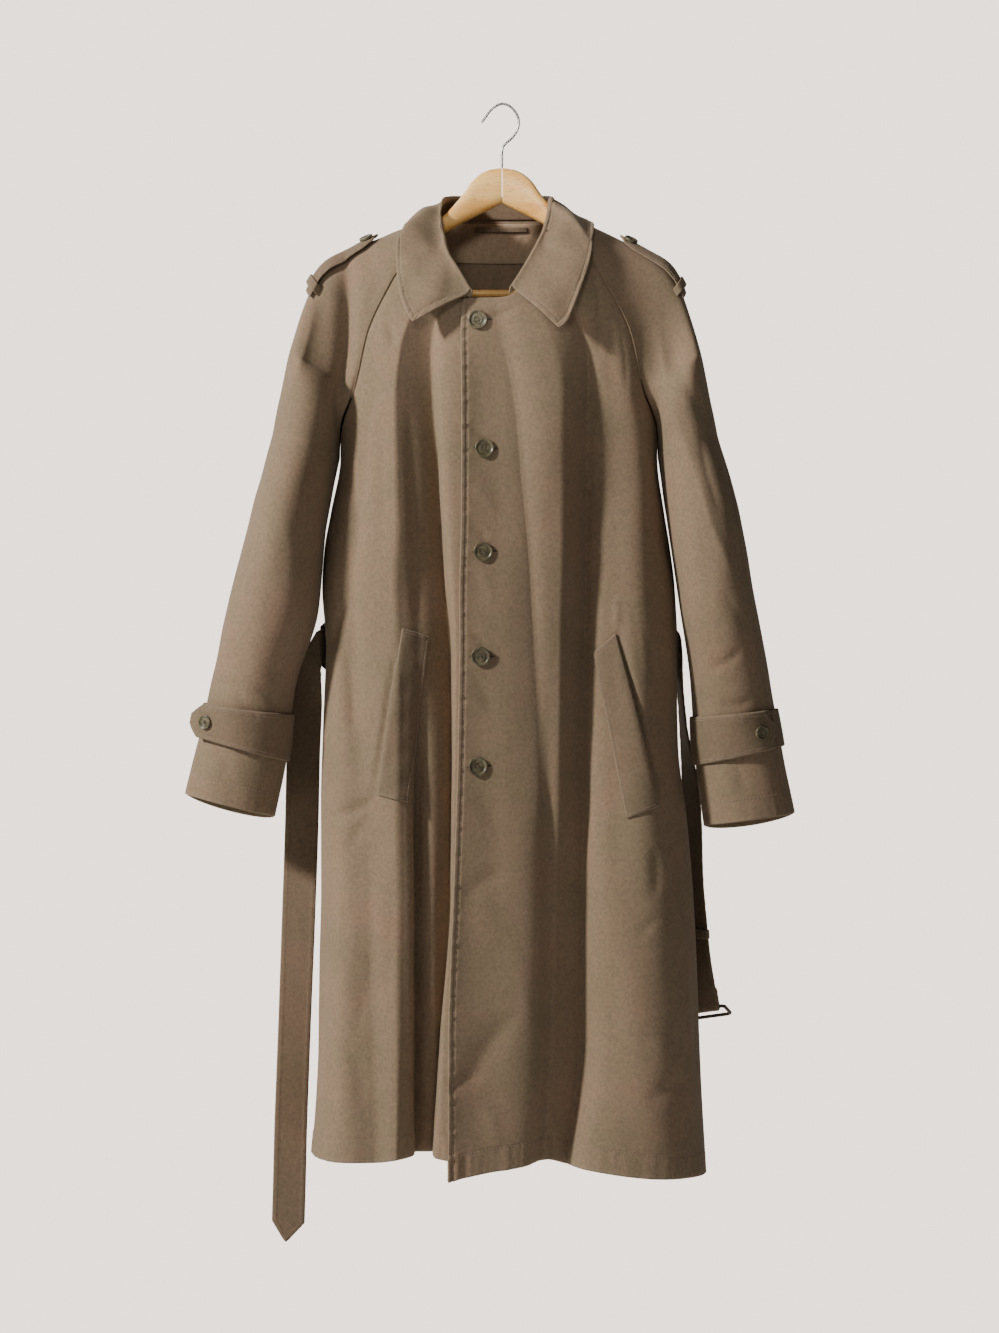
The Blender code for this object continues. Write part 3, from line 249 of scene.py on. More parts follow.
# Collar: place on the neck seam (0-1 front, 1-2 sleeve, 2-3 back), the roll
# line and the outer edge, from the front end to mid back.
COLLAR_LEFT = (
    (0.24, 10, -89, -232, 68, -104, -281),
    (0.36, 24, -82, -210, 77, -102, -274),
    (0.52, 39, -66, -182, 87, -98, -250),
    (0.70, 49, -48, -160, 99, -91, -217),
    (0.88, 56, -25, -134, 107, -79, -188),
    (1.06, 58, -19, -121, 108, -69, -175),
    (1.30, 59, 0, -116, 108, -50, -163),
    (1.70, 57, 20, -112, 107, 0, -146),
    (2.15, 50, 37, -109, 98, 50, -150),
    (2.50, 29, 48, -108, 62, 71, -156),
    (3.00, 0, 52, -108, 0, 76, -159),
)
COLLAR_RIGHT = (
    (0.14, -36, -91, -237, -106, -104, -274),
    (0.25, -51, -84, -211, -113, -101, -263),
    (0.42, -64, -71, -188, -123, -91, -232),
    (0.60, -69, -52, -166, -126, -80, -204),
    (0.84, -73, -27, -139, -126, -69, -175),
    (1.30, -71, 0, -118, -120, -50, -161),
    (1.70, -64, 20, -112, -116, 0, -148),
    (2.15, -52, 37, -109, -102, 50, -150),
    (2.50, -29, 48, -108, -63, 71, -156),
    (3.00, 0, 52, -108, 0, 76, -159),
)

#            X, Z of the five front buttons
BUTTONS = ((-29.0, -270.6), (-21.2, -424.3), (-22.7, -548.0),
           (-26.0, -673.0), (-29.0, -804.0))

# Pocket welts: X, Z of the opening edge's ends and of the sewn edge's ends.
WELT_LEFT = ((136, -646), (187, -852), (111, -668), (150, -866))
WELT_RIGHT = ((-119, -640), (-148, -838), (-88, -650), (-113, -847))

# Hanger arm, from the middle to its end: x, top, bottom, mid Y, half depth.
ARM = (
    (0.4, -77, -120.4, 0.0, 10.0), (14, -79, -127.2, -0.5, 10.2),
    (25.6, -84, -133, -1.0, 10.4), (37, -94, -138.8, -1.8, 10.8),
    (45, -106, -143, -2.5, 11.0), (55, -119, -148.6, -3.4, 11.5),
    (73, -137.5, -159, -5.4, 12.2), (110, -159, -179, -11.0, 13.6),
    (145, -178, -200, -18.0, 15.2), (172, -193, -219, -24.0, 16.4),
    (188, -207, -236, -28.0, 16.0), (195, -217, -242, -29.5, 12.0),
)
BAR_Z, BAR_Y = -0.2330, -0.0270

# Hook wire's middle line: X, Z.
HOOK = ((-24.6, -21.0), (-19.6, -14.2), (-14.8, -7.6), (-9.0, -2.4),
        (-3.6, 0.6), (0.6, 1.5), (6.4, 0.2), (12.4, -4.0), (17.6, -10.6),
        (20.4, -18.0), (20.4, -24.0), (18.4, -31.0), (14.2, -38.0),
        (8.6, -43.6), (3.6, -48.0), (0.6, -53.0), (0.0, -60.0),
        (0.0, -76.4))

# Belt where it hangs: front or outer edge X,Y,Z and the other edge X,Y,Z.
BELT_FREE = (
    (-226, 4, -643, -221, 5, -682), (-235, 5, -658, -222, 8, -695),
    (-247, 17, -684, -222, 18, -713), (-257, 28, -712, -222, 28, -727),
    (-262, 34, -745, -223, 35, -750), (-264, 38, -790, -225, 40, -792),
    (-266, 38, -880, -227, 42, -880), (-270, 36, -1000, -231, 36, -1000),
    (-274, 34, -1120, -236, 38, -1120), (-278, 32, -1230, -240, 40, -1230),
    (-282, 33, -1366, -244, 39, -1370),
)
BELT_FREE_TIP = (-266, 36, -1392)
BELT_BUCKLE = (
    (218, 13, -650, 217, 37, -685), (220, 6, -670, 216, 42, -690),
    (221, 8, -704, 217, 46, -706), (225, 16, -760, 219, 54, -760),
    (240, 24, -830, 223, 59, -830), (245, 31, -890, 224, 63, -890),
    (247, 36, -954, 223, 66, -954), (253, 38, -1020, 226, 66, -1020),
    (259, 42, -1062, 225, 61, -1064), (266, 45, -1100, 229, 54, -1106),
)
BELT_Z, KEEPER_Z = -0.660, -1.0165
BUCKLE_W, BUCKLE_H, BUCKLE_WIRE_R = 0.052, 0.040, 0.0022
WRAP_R = 0.0043
BELT_TURNS = (-94, -256)
BELT_LIFT = 0.0050
LOOP_TURNS = (("right", -101), ("left", 112))

# Folds listed on top of the tables above, in mm.  side is where the
# cloth faces; x runs along X (along Y on the two sides).  A depth above 0 is
# a trough, below 0 a ridge.
#     side      x0    z0     x1    z1  bend depth width
FOLDS = (
    ("front", -112, -380, -100, -700, 2, 3.0, 7),
    ("front", -99, -730, -96, -1340, 1, 27.0, 6),
    ("front", -99, -730, -96, -1340, 1, 8.5, 14),
    ("front", 140, -652, 191, -848, 0, 5.0, 4),
    ("front", -123, -646, -152, -832, 0, 5.0, 4),
    ("front", -184, -450, -173, -545, 4, 3.0, 10),
    ("front", -189, -655, -180, -770, 3, 4.0, 10),
    ("front", -205, -668, -186, -606, 3, 4.0, 8),
    ("front", -147, -840, -214, -870, 4, 4.0, 9),
    ("front", -187, -909, -142, -851, 5, 2.2, 9),
    ("front", -209, -903, -195, -963, 3, 2.0, 9),
    ("front", -139, -270, -131, -302, 2, 3.0, 6),
    ("front", -149, -362, -145, -558, 3, 1.2, 9),
    ("front", -175, -969, -199, -1094, 6, -1.6, 14),
    ("front", -155, -1010, -178, -1130, 5, 1.6, 12),
    ("front", -131, -939, -140, -1082, 4, 1.6, 10),
    ("front", -192, -1120, -166, -1215, 4, 1.8, 13),
    ("front", -2, -276, 30, -310, -3, 1.8, 4),
    ("front", 30, -296, 37, -311, 0, 1.0, 2.5),
    ("front", 114, -203, 117, -308, 2, 5.0, 8),
    ("front", 143, -285, 150, -350, 2, 2.2, 6),
    ("front", 139, -598, 137, -646, 0, -1.8, 5),
    ("front", 164, -614, 200, -790, 4, 1.2, 6),
    ("front", 152, -600, 166, -690, 3, 1.0, 5),
    ("front", 182, -903, 184, -962, 2, 3.0, 8),
    ("front", 165, -1007, 188, -987, 2, 1.6, 5),
    ("front", 199, -945, 232, -1058, 4, -1.2, 4),
    ("front", 174, -1207, 224, -1183, 4, 3.0, 12),
    ("front", 178, -1135, 196, -1152, 3, -2.0, 10),
    ("front", -48, -969, 3, -927, 5, 2.2, 14),
    ("front", -64, -1191, -29, -1171, 3, 3.0, 10),
    ("front", -38, -1183, 21, -1094, 6, 3.2, 15),
    ("front", -18, -1209, -8, -1261, 3, -1.8, 10),
    ("front", 58, -1242, 61, -1281, 0, 3.4, 5),
    ("front", -38, -401, -14, -420, 2, 2.2, 5),
    ("front", -38, -519, -17, -534, 2, 2.2, 5),
    ("front", -36, -649, -19, -663, 2, 2.2, 5),
    ("front", -14, -267, 21, -249, -3, 3.0, 6),
    ("front", -30, -560, -12, -612, 3, -1.2, 8),
    ("front", -34, -470, -8, -505, 4, -1.4, 9),
    ("front", -36, -700, -10, -742, 4, 1.4, 10),
    ("front", -36, -840, -4, -872, 4, 1.6, 11),
    ("front", 8, -1010, 30, -1120, 6, -1.6, 16),
    # hidden sides
    ("back", -120, -240, -96, -520, 8, 2.6, 11),
    ("back", 110, -250, 92, -500, -8, 2.4, 10),
    ("back", -30, -180, -66, -330, 6, 1.8, 10),
    ("back", 26, -175, 60, -310, -6, 1.6, 9),
    ("back", -10, -330, 14, -600, 5, 1.4, 13),
    ("back", -160, -600, -60, -700, 8, 2.2, 9),
    ("back", 150, -585, 74, -690, -8, 2.6, 10),
    ("back", -150, -720, -60, -640, 6, 1.8, 9),
    ("back", 30, -700, 44, -980, 6, -2.0, 15),
    ("back", -40, -760, -52, -1120, 6, -2.2, 16),
    ("back", 150, -800, 166, -1100, 5, 2.6, 12),
    ("back", -160, -820, -176, -1160, -5, 2.8, 13),
    ("back", -110, -1130, -60, -1200, 5, 2.0, 12),
    ("back", 90, -1060, 130, -1170, 5, 2.0, 12),
    ("left", -40, -520, -8, -640, 6, 3.0, 10),
    ("left", 30, -700, 10, -960, 5, 2.4, 12),
    ("left", -50, -900, -34, -1180, 5, 2.4, 12),
    ("right", -36, -520, -4, -630, 6, 3.0, 10),
    ("right", 34, -710, 16, -980, 5, 2.4, 12),
    ("right", -52, -930, -30, -1190, 5, 2.6, 12),
)
# The same on the sleeves.
SLEEVE_FOLDS = (
    ("front", -227, -255, -258, -368, 3, -2.2, 6),
    ("front", -188, -196, -200, -452, 5, 17.0, 11),
    ("front", -262, -500, -250, -610, 4, -1.6, 12),
    ("front", -219, -606, -244, -713, 3, 4.0, 8),
    ("front", -345, -701, -308, -725, 5, 3.0, 8),
    ("front", -294, -713, -270, -734, 3, 2.2, 6),
    ("front", -330, -668, -300, -690, 4, 1.6, 8),
    ("front", -353, -778, -326, -814, 4, 2.2, 7),
    ("front", -285, -330, -318, -460, 4, 1.2, 12),
    ("front", 190, -278, 234, -460, -7, -2.4, 6),
    ("front", 205, -300, 254, -398, -8, 3.4, 10),
    ("front", 234, -460, 278, -578, -4, -2.0, 6),
    ("front", 238, -410, 262, -500, -4, 3.2, 8),
    ("front", 286, -665, 250, -687, 4, 2.8, 7),
    ("front", 259, -732, 302, -725, -3, 3.2, 6),
    ("front", 262, -600, 290, -640, 4, 1.6, 9),
    ("front", 236, -520, 246, -640, 5, 1.2, 10),
    ("front", 270, -790, 290, -835, 4, 1.6, 8),
    ("back", 205, -270, 262, -440, -8, 3.0, 10),
    ("back", 232, -470, 288, -560, -6, 2.6, 9),
    ("back", 300, -640, 250, -700, 6, 2.6, 9),
    ("back", 240, -600, 262, -680, 4, 1.6, 9),
    ("back", -210, -270, -270, -450, 8, 3.0, 10),
    ("back", -236, -470, -296, -570, 6, 2.6, 9),
    ("back", -314, -650, -262, -712, -6, 2.8, 9),
    ("back", -250, -600, -276, -690, -4, 1.6, 9),
)

# The same on the collar's fall.
COLLAR_FOLDS = (
    ("front", -118, -163, -68, -181, 3, 1.3, 5),
    ("front", -98, -192, -52, -214, 3, 1.1, 4),
    ("front", -104, -224, -68, -238, -2, -1.0, 5),
    ("front", -88, -250, -50, -262, 2, 0.9, 4),
    ("front", 40, -176, 96, -197, -3, 1.2, 5),
    ("front", 48, -205, 96, -222, 3, -1.0, 5),
    ("front", 44, -236, 84, -246, -2, 1.0, 4),
)


# ------------------------------------------------------------ numbers
def curve(knots, values, at):
    """Monotone cubic through the knots, flat where the values turn."""
    x = np.asarray(knots, float)
    y = np.asarray(values, float)
    flat = y.reshape(len(x), -1)
    h = np.diff(x)[:, None]
    d = np.diff(flat, axis=0) / h
    slope = np.empty_like(flat)
    slope[0], slope[-1] = d[0], d[-1]
    if len(x) > 2:
        a, b = 2 * h[1:] + h[:-1], h[1:] + 2 * h[:-1]
        same = d[:-1] * d[1:] > 0
        p = np.where(same, d[:-1], 1.0)
        q = np.where(same, d[1:], 1.0)
        slope[1:-1] = np.where(same, (a + b) / (a / p + b / q), 0.0)
    at = np.clip(np.asarray(at, float), x[0], x[-1])
    k = np.clip(np.searchsorted(x, at) - 1, 0, len(x) - 2)
    t = ((at - x[k]) / (x[k + 1] - x[k]))[..., None]
    w = (x[k + 1] - x[k])[..., None]
    out = ((1 + 2 * t) * (1 - t) ** 2 * flat[k]
           + t * (1 - t) ** 2 * w * slope[k]
           + t * t * (3 - 2 * t) * flat[k + 1]
           + t * t * (t - 1) * w * slope[k + 1])
    return out.reshape(at.shape + y.shape[1:])


def steps(first, last, count):
    """count equal steps from first to last, both ends included."""
    return [first + (last - first) * i / count for i in range(count + 1)]


def unit(v):
    return v / np.maximum(np.linalg.norm(v, axis=-1, keepdims=True), 1e-12)


def smooth(t):
    t = np.clip(t, 0.0, 1.0)
    return t * t * (3 - 2 * t)


def smooth_run(points, count):
    """count + 1 points on a smooth line through the given ones."""
    points = np.asarray(points, float)
    return curve(range(len(points)), points,
                 np.linspace(0, len(points) - 1, count + 1))


def along(points):
    """Running length of rows of points, down the first axis."""
    d = np.linalg.norm(np.diff(points, axis=0), axis=-1)
    return np.concatenate([np.zeros((1,) + d.shape[1:]),
                           np.cumsum(d, axis=0)])


WAVES = np.random.RandomState(11).uniform(-1, 1, (40, 4))


def rumple(p, size, stretch=(1.0, 1.0, 0.45), first=0, count=10):
    """Soft uneven field of about -1 to 1, with swells of the given size."""
    total = np.zeros(p.shape[:-1])
    for x, y, z, phase in WAVES[first:first + count]:
        k = np.array([x, y, z]) * np.array(stretch) * 2 * math.pi / size
        total += np.sin(p @ k + phase * 3.1)
    return total / math.sqrt(count)


# --------------------------------------------------------------- hull
HULL_T = np.array(sorted(HULL), float) * MM


def hull_at(z):
    """Half width at -X, at +X, front depth, back depth at height z."""
    return curve(HULL_T[:, 0], HULL_T[:, 1:5], z)


def hull_angle(x, z):
    """Angle on the section, 0 in front and +90 deg at +X, from X."""
    right, left, _, _ = hull_at(z)
    w = left if x > 0 else right
    s = min(abs(x) / w, 1.0) ** (HULL_POWER / 2)
    return math.copysign(math.asin(min(s, 1.0)), x)


def hull_point(angle, z, lift):
    """Points of the section, moved out by lift."""
    angle, z, lift = np.broadcast_arrays(angle, z, lift)
    right, left, front, back = np.moveaxis(hull_at(z), -1, 0)
    s, c = np.sin(angle), np.cos(angle)
    w = np.where(s > 0, left, right)
    d = np.where(c > 0, front, back)
    e = 2 / HULL_POWER
    x = np.sign(s) * w * np.abs(s) ** e
    y = -np.sign(c) * d * np.abs(c) ** e
    p = HULL_POWER - 1
    n = np.stack([np.sign(x) * np.abs(x / w) ** p / w,
                  np.sign(y) * np.abs(y / d) ** p / d,
                  np.zeros_like(x)], -1)
    return np.stack([x, y, z], -1) + unit(n) * lift[..., None]


# ------------------------------------------------------------- panels
class Panel:
    """A front or the back: lines by row, read at any u and v."""

    def __init__(self, xs, depths, hem, neck, row_z, sharp, behind=False):
        self.x, self.depth = xs, np.array(depths, float) * MM
        self.hem, self.neck = hem, neck
        self.row_z, self.behind = row_z, behind
        self.sharp = sharp
        self.last = len(hem) - 1
        self.lines = np.arange(self.last + 1)
        self.side_sign = 1 if xs[3][-2] > 0 else -1
        self.over = None
        self.angles = np.array([self.row_angles(r) for r in range(len(xs))])

    def plain_z(self, u, row):
        knots = self.row_z[row]
        at = u / self.last * (len(knots) - 1)
        return np.interp(at, range(len(knots)), knots) * MM

    def height(self, u, v):
        u = np.asarray(u, float)
        lo = min(int(v), NECK - 1)
        t = v - lo
        z = self.plain_z(u, lo) * (1 - t) + self.plain_z(u, lo + 1) * t
        if v < 1:
            z = z + (1 - v) * (curve(self.lines, self.hem, u) * MM
                               - self.plain_z(u, 0))
        if v > ARMPIT:
            w = ((v - ARMPIT) / (NECK - ARMPIT)) ** 1.6
            z = z + w * (curve(self.lines, self.neck, u) * MM
                         - self.plain_z(u, NECK))
        return z

    def row_angles(self, row):
        out = []
        for u, x in enumerate(self.x[row]):
            if x is None:
                sign = -1 if (self.behind and u == 0) else 1
                if not self.behind:
                    sign = self.side_sign
                angle = sign * math.pi / 2
            else:
                angle = hull_angle(x * MM, float(self.height(u, row)))
                if self.behind:
                    angle = math.pi - angle
                    if angle > math.pi:
                        angle -= 2 * math.pi
            out.append(angle)
        if self.behind:
            out = [a if a > 0 else a + 2 * math.pi for a in out]
            out = [2 * math.pi + a if a < math.pi / 4 else a for a in out]
        return out

    def row(self, v):
        rows = np.arange(NECK + 1)
        return curve(rows, self.angles, v), curve(rows, self.depth, v)

    def fold(self, u, depth):
        """Depth between the lines.  A valley in self.sharp goes down its
        low and high side by its own share and power."""
        d = curve(self.lines, depth, u)
        for line, low, high in self.sharp:
            for ridge, (share, power) in ((line - 1, low), (line + 1, high)):
                t = 1 - np.abs(u - line)
                inside = (t > 0) & ((u < line) == (ridge < line))
                t = np.where(inside, t, 0.0)
                bend = t ** power - t * t * (3 - 2 * t)
                d = d + share * (depth[line] - depth[ridge]) * bend
        return d

    def depth_at(self, angle, v):
        """Depth where the row passes the given angles."""
        angles, depth = self.row(v)
        up = angles[-1] > angles[0]
        lo = np.zeros_like(angle)
        hi = np.full_like(angle, float(self.last))
        for _ in range(22):
            mid = (lo + hi) / 2
            past = (curve(self.lines, angles, mid) > angle) == up
            hi = np.where(past, mid, hi)
            lo = np.where(past, lo, mid)
        out = (angle - angles[0]) * (angles[-1] - angles[0]) <= 0
        return np.where(out, depth[0], self.fold(lo, depth))

    def points(self, u, v, lift=0.0):
        u = np.asarray(u, float)
        angles, depth = self.row(v)
        angle = curve(self.lines, angles, u)
        d = self.fold(u, depth)
        if self.over is not None:
            top = self.over.depth_at(angle, v) + LAP_GAP
            edge = self.over.row(v)[0][0]
            inside = np.clip((angle - edge) / 0.05 + 0.4, 0, 1) * (u < 2)
            d = d + (np.maximum(top, d) - d) * inside
        return hull_point(angle, self.height(u, v), lift - d)

    def point(self, u, v, lift=0.0):
        return self.points(np.array([float(u)]), v, lift)[0]


FRONT_LEFT = Panel(LEFT_X, LEFT_DEPTH, LEFT_HEM_Z, LEFT_NECK_Z, FRONT_LEFT_Z,
                   ((1, (0.9, 1.25), (1.0, 4.0)),
                    (3, (0.6, 0.95), (0.8, 2.6))))
FRONT_RIGHT = Panel(RIGHT_X, RIGHT_DEPTH, RIGHT_HEM_Z, RIGHT_NECK_Z,
                    FRONT_RIGHT_Z,
                    ((2, (1.0, 5.0), (0.75, 0.85)),
                     (4, (1.0, 5.0), (0.5, 1.1))))
FRONT_RIGHT.over = FRONT_LEFT
BACK = Panel(BACK_X, BACK_DEPTH, BACK_HEM_Z, BACK_NECK_Z, BACK_Z,
             ((3, (0.8, 1.6), (0.8, 1.7)), (5, (0.8, 1.7), (0.8, 1.6))),
             behind=True)


# ------------------------------------------------------------- sleeve
class Sleeve:
    """Raglan sleeve: w is 0 at the front seam, 1 outside, 2 behind;
    v is 0 at the neck, 4 at the armpit and 9 at the cuff."""

    def __init__(self, sign, front, cap, tube):
        self.sign, self.front = sign, front
        self.cap = np.array(cap, float) * MM
        self.tube = np.array(tube, float) * MM
        self.back_u = BACK.last if sign > 0 else 0

    def seams(self, v):
        """Front and back seam point at v, and the arcs' first directions."""
        pv = NECK - v
        ends = []
        for panel, u, ahead in ((self.front, self.front.last, -1),
                                (BACK, self.back_u, 1)):
            p = panel.point(u, pv)
            step = 0.05
            up = (panel.point(u, min(pv + step, NECK))
                  - panel.point(u, max(pv - step, ARMPIT)))
            out = panel.point(u, pv, 0.001) - p
            across = unit(np.cross(up, out))
            if across[0] * self.sign < 0:
                across = -across
            turn = float(curve(range(5), (0, 0, 0.12, 0.45, 1), v))
            forward = np.array([0.0, float(ahead), 0.0])
            ends.append((p, unit(across * (1 - turn) + forward * turn)))
        return ends

    def points(self, w, v):
        if v <= 4:
            x, y, z, seam, top = curve(range(5), self.cap, v)
            outer = np.array([x * self.sign, y, z])
            (f, tf), (b, tb) = self.seams(v)
            move = 0.0007 * np.interp(v, (0, 2.5, 4), (0, 0, 1))
            f = f + np.array([self.sign * move, 0, 0])
            b = b + np.array([self.sign * move, 0, 0])
            reach = seam
        else:
            xi, zi, xo, zo, y, half = curve(
                np.arange(4, 4 + len(self.tube)), self.tube, v)
            xi = max(xi, self.tube[0, 0])
            f = b = np.array([(xi + 0.0002) * self.sign, y * (v - 4)
                              / (v - 3.2), zi])
            if v < 5:
                a = self.seams(4)[0][0] + np.array([self.sign * 0.0007,
                                                    0, 0])
                f = b = a * (5 - v) + f * (v - 4)
            outer = np.array([xo * self.sign, y, zo])
            tf, tb = np.array([0, -1.0, 0]), np.array([0, 1.0, 0])
            top = reach = half / 0.75
        ahead = np.array([0, -1.0, 0])
        w = np.asarray(w, float)
        in_front = w <= 1
        t = np.where(in_front, w, w - 1)[:, None]
        bez = ((1 - t) ** 3, 3 * t * (1 - t) ** 2, 3 * t * t * (1 - t),
               t ** 3)
        front = (f, f + tf * reach, outer + ahead * top, outer)
        rear = (outer, outer - ahead * top, b + tb * reach, b)
        q = np.where(in_front[:, None],
                     sum(k * p for k, p in zip(bez, front)),
                     sum(k * p for k, p in zip(bez, rear)))
        if v > 7.5:
            behind = np.where(in_front, 0.0, np.sin(np.pi * (w - 1)))
            q[:, 2] -= CUFF_BACK_DROP * behind * (v - 7.5) / 1.5
        return q

    def point(self, w, v):
        return self.points(np.array([float(w)]), v)[0]


SLEEVE_LEFT = Sleeve(1, FRONT_LEFT, CAP_LEFT, TUBE_LEFT)
SLEEVE_RIGHT = Sleeve(-1, FRONT_RIGHT, CAP_RIGHT, TUBE_RIGHT)


def neck_point(sleeve, front, q, beyond=0.0):
    """Point of the neck seam: 0-1 front, 1-2 sleeve, 2-3 back."""
    if q <= 1:
        p = front.point(q * front.last, NECK)
        below = front.point(q * front.last, NECK - 0.3)
    elif q <= 2:
        p = sleeve.point((q - 1) * 2, 0)
        below = sleeve.point((q - 1) * 2, 0.15)
    else:
        side = sleeve.back_u
        u = side + (BACK.last / 2 - side) * (q - 2)
        p = BACK.point(u, NECK)
        below = BACK.point(u, NECK - 0.3)
    return p + unit(p - below) * beyond


# --------------------------------------------------------------- cloth
class Cloth:
    """Rows of points (hem to top, across) with normals that face out."""

    def __init__(self, points, out=1.0, us=None, vs=None):
        self.p = np.asarray(points, float)
        self.out = out
        self.us, self.vs = us, vs
        self.renew()

    def renew(self):
        du = np.gradient(self.p, axis=1)
        dv = np.gradient(self.p, axis=0)
        self.n = unit(np.cross(du, dv)) * self.out
        self.s = along(np.swapaxes(self.p, 0, 1)).T     # across, from column 0
        self.t = along(self.p)                          # up, from row 0

    def press(self, depth):
        """Move the cloth in by depth."""
        self.p = self.p - self.n * depth[..., None]
        self.renew()

    def edge_distance(self):
        """Distance to the first column, last column, first row, last row."""
        return (self.s, self.s[:, -1:] - self.s,
                self.t, self.t[-1:, :] - self.t)

    def at(self, u, v, lift=0.0):
        """Point and normal at u, v, raised by lift."""
        r = np.interp(v, self.vs, np.arange(len(self.vs)))
        r0 = int(min(r, len(self.vs) - 2))
        f = r - r0
        got = []
        for k in (r0, r0 + 1):
            row = self.us[k] if self.us.ndim == 2 else self.us
            c = np.interp(u, row, np.arange(len(row)))
            c0 = int(min(c, len(row) - 2))
            g = c - c0
            got.append((self.p[k, c0] * (1 - g) + self.p[k, c0 + 1] * g,
                        self.n[k, c0] * (1 - g) + self.n[k, c0 + 1] * g))
        p = got[0][0] * (1 - f) + got[1][0] * f
        n = unit(got[0][1] * (1 - f) + got[1][1] * f)
        return p + n * lift, n

    def line(self, border, inset):
        """Points and normals on a line parallel to a border.

        border: 0 first column, 1 last column, 2 first row, 3 last row."""
        p, n = self.p, self.n
        if border in (0, 1):
            p, n = np.swapaxes(p, 0, 1), np.swapaxes(n, 0, 1)
        if border in (1, 3):
            p, n = p[::-1], n[::-1]
        d = along(p)
        pts, nrm = [], []
        for c in range(p.shape[1]):
            k = np.interp(inset, d[:, c], np.arange(len(d)))
            k0 = int(min(k, len(d) - 2))
            g = k - k0
            pts.append(p[k0, c] * (1 - g) + p[k0 + 1, c] * g)
            nrm.append(n[k0, c] * (1 - g) + n[k0 + 1, c] * g)
        return np.array(pts), unit(np.array(nrm))


def folds(cloth, table):
    """Depth of the listed folds at each point of the cloth."""
    p, n = cloth.p, cloth.n
    axes = {"front": (0, -n[..., 1]), "back": (0, n[..., 1]),
            "left": (1, n[..., 0]), "right": (1, -n[..., 0])}
    total = np.zeros(p.shape[:2])
    for side, x0, z0, x1, z1, bend, depth, width in table:
        axis, faces = axes[side]
        a, b = np.array((x0, z0)) * MM, np.array((x1, z1)) * MM
        length = np.linalg.norm(b - a)
        d = (b - a) / length
        q = p[..., (axis, 2)] - a
        s = (q @ d) / length
        off = q @ np.array((-d[1], d[0])) - bend * MM * (1 - (2 * s - 1) ** 2)
        r = np.abs(off) / (width * MM)
        shape = np.exp(-r ** 1.5) - 0.3 * np.exp(-(r / 2.4) ** 2)
        taper = smooth((s + 0.12) / 0.4) * smooth((1.12 - s) / 0.4)
        total += depth * MM * shape * taper * smooth(faces * 1.5)
    return total


def spread(*parts):
    """One run of numbers from (first, last, count) parts."""
    out = [parts[0][0]]
    for first, last, count in parts:
        out += steps(first, last, count)[1:]
    return np.array(out)


def shell(name, cloth, wall, offset=-1.0, crest_highlight=None, free=(1, 1, 1, 1)):
    """Closed wall on the cloth with rounded rims, UVs in metres and wear on
    the free ones of its first column, last column, first row, last row;
    offset -1: the cloth is the outer face, 0: its middle."""
    p, n = cloth.p, cloth.n
    rows, cols = p.shape[:2]
    wall = np.broadcast_to(wall, (rows, cols))[..., None]
    top = p + n * wall * (1 + offset) / 2
    low = p - n * wall * (1 - offset) / 2
    rim = ([(0, c) for c in range(cols)]
           + [(r, cols - 1) for r in range(1, rows)]
           + [(rows - 1, c) for c in range(cols - 2, -1, -1)]
           + [(r, 0) for r in range(rows - 2, 0, -1)])
    ri, ci = np.array(rim).T
    inner_r = np.clip(ri, 1, rows - 2)
    inner_c = np.clip(ci, 1, cols - 2)
    away = unit(p[ri, ci] - p[inner_r, inner_c])
    mids = ((top[ri, ci] + low[ri, ci]) / 2
            + away * wall[ri, ci] * 0.45)
    verts = np.concatenate([top.reshape(-1, 3), low.reshape(-1, 3), mids])
    count = rows * cols
    idx = np.arange(count).reshape(rows, cols)
    quad = np.stack([idx[:-1, :-1], idx[:-1, 1:], idx[1:, 1:], idx[1:, :-1]],
                    -1).reshape(-1, 4)
    loop = idx[ri, ci]
    nxt = np.roll(loop, -1)
    m = 2 * count + np.arange(len(loop))
    m_nxt = np.roll(m, -1)
    faces = np.concatenate([
        quad, quad[:, ::-1] + count,
        np.stack([nxt, loop, m, m_nxt], -1),
        np.stack([m_nxt, m, loop + count, nxt + count], -1)])
    if cloth.out < 0:
        faces = faces[:, ::-1]
    s, t = cloth.s, np.broadcast_to(
        cloth.t[:, cols // 2:cols // 2 + 1], (rows, cols))
    uv = np.stack([s, t], -1).reshape(-1, 2)
    uv = np.concatenate([uv, uv, uv[loop]])
    near = np.min(np.stack([d if k else d * 0 + 1.0 for d, k in
                            zip(cloth.edge_distance(), free)]), axis=0)
    wear_and_highlight = np.exp(-near / 0.0022).reshape(-1)
    rim_worn = wear_and_highlight[loop]
    # crest_highlight: painted highlight, a paler colour on the crests of
    # folds, added to the edge wear.
    if crest_highlight is not None:
        wear_and_highlight = wear_and_highlight + crest_highlight.reshape(-1)
    wear_and_highlight = np.concatenate([wear_and_highlight, wear_and_highlight * 0, rim_worn])
    return mesh_object(name, verts, faces, uv, wear_and_highlight)


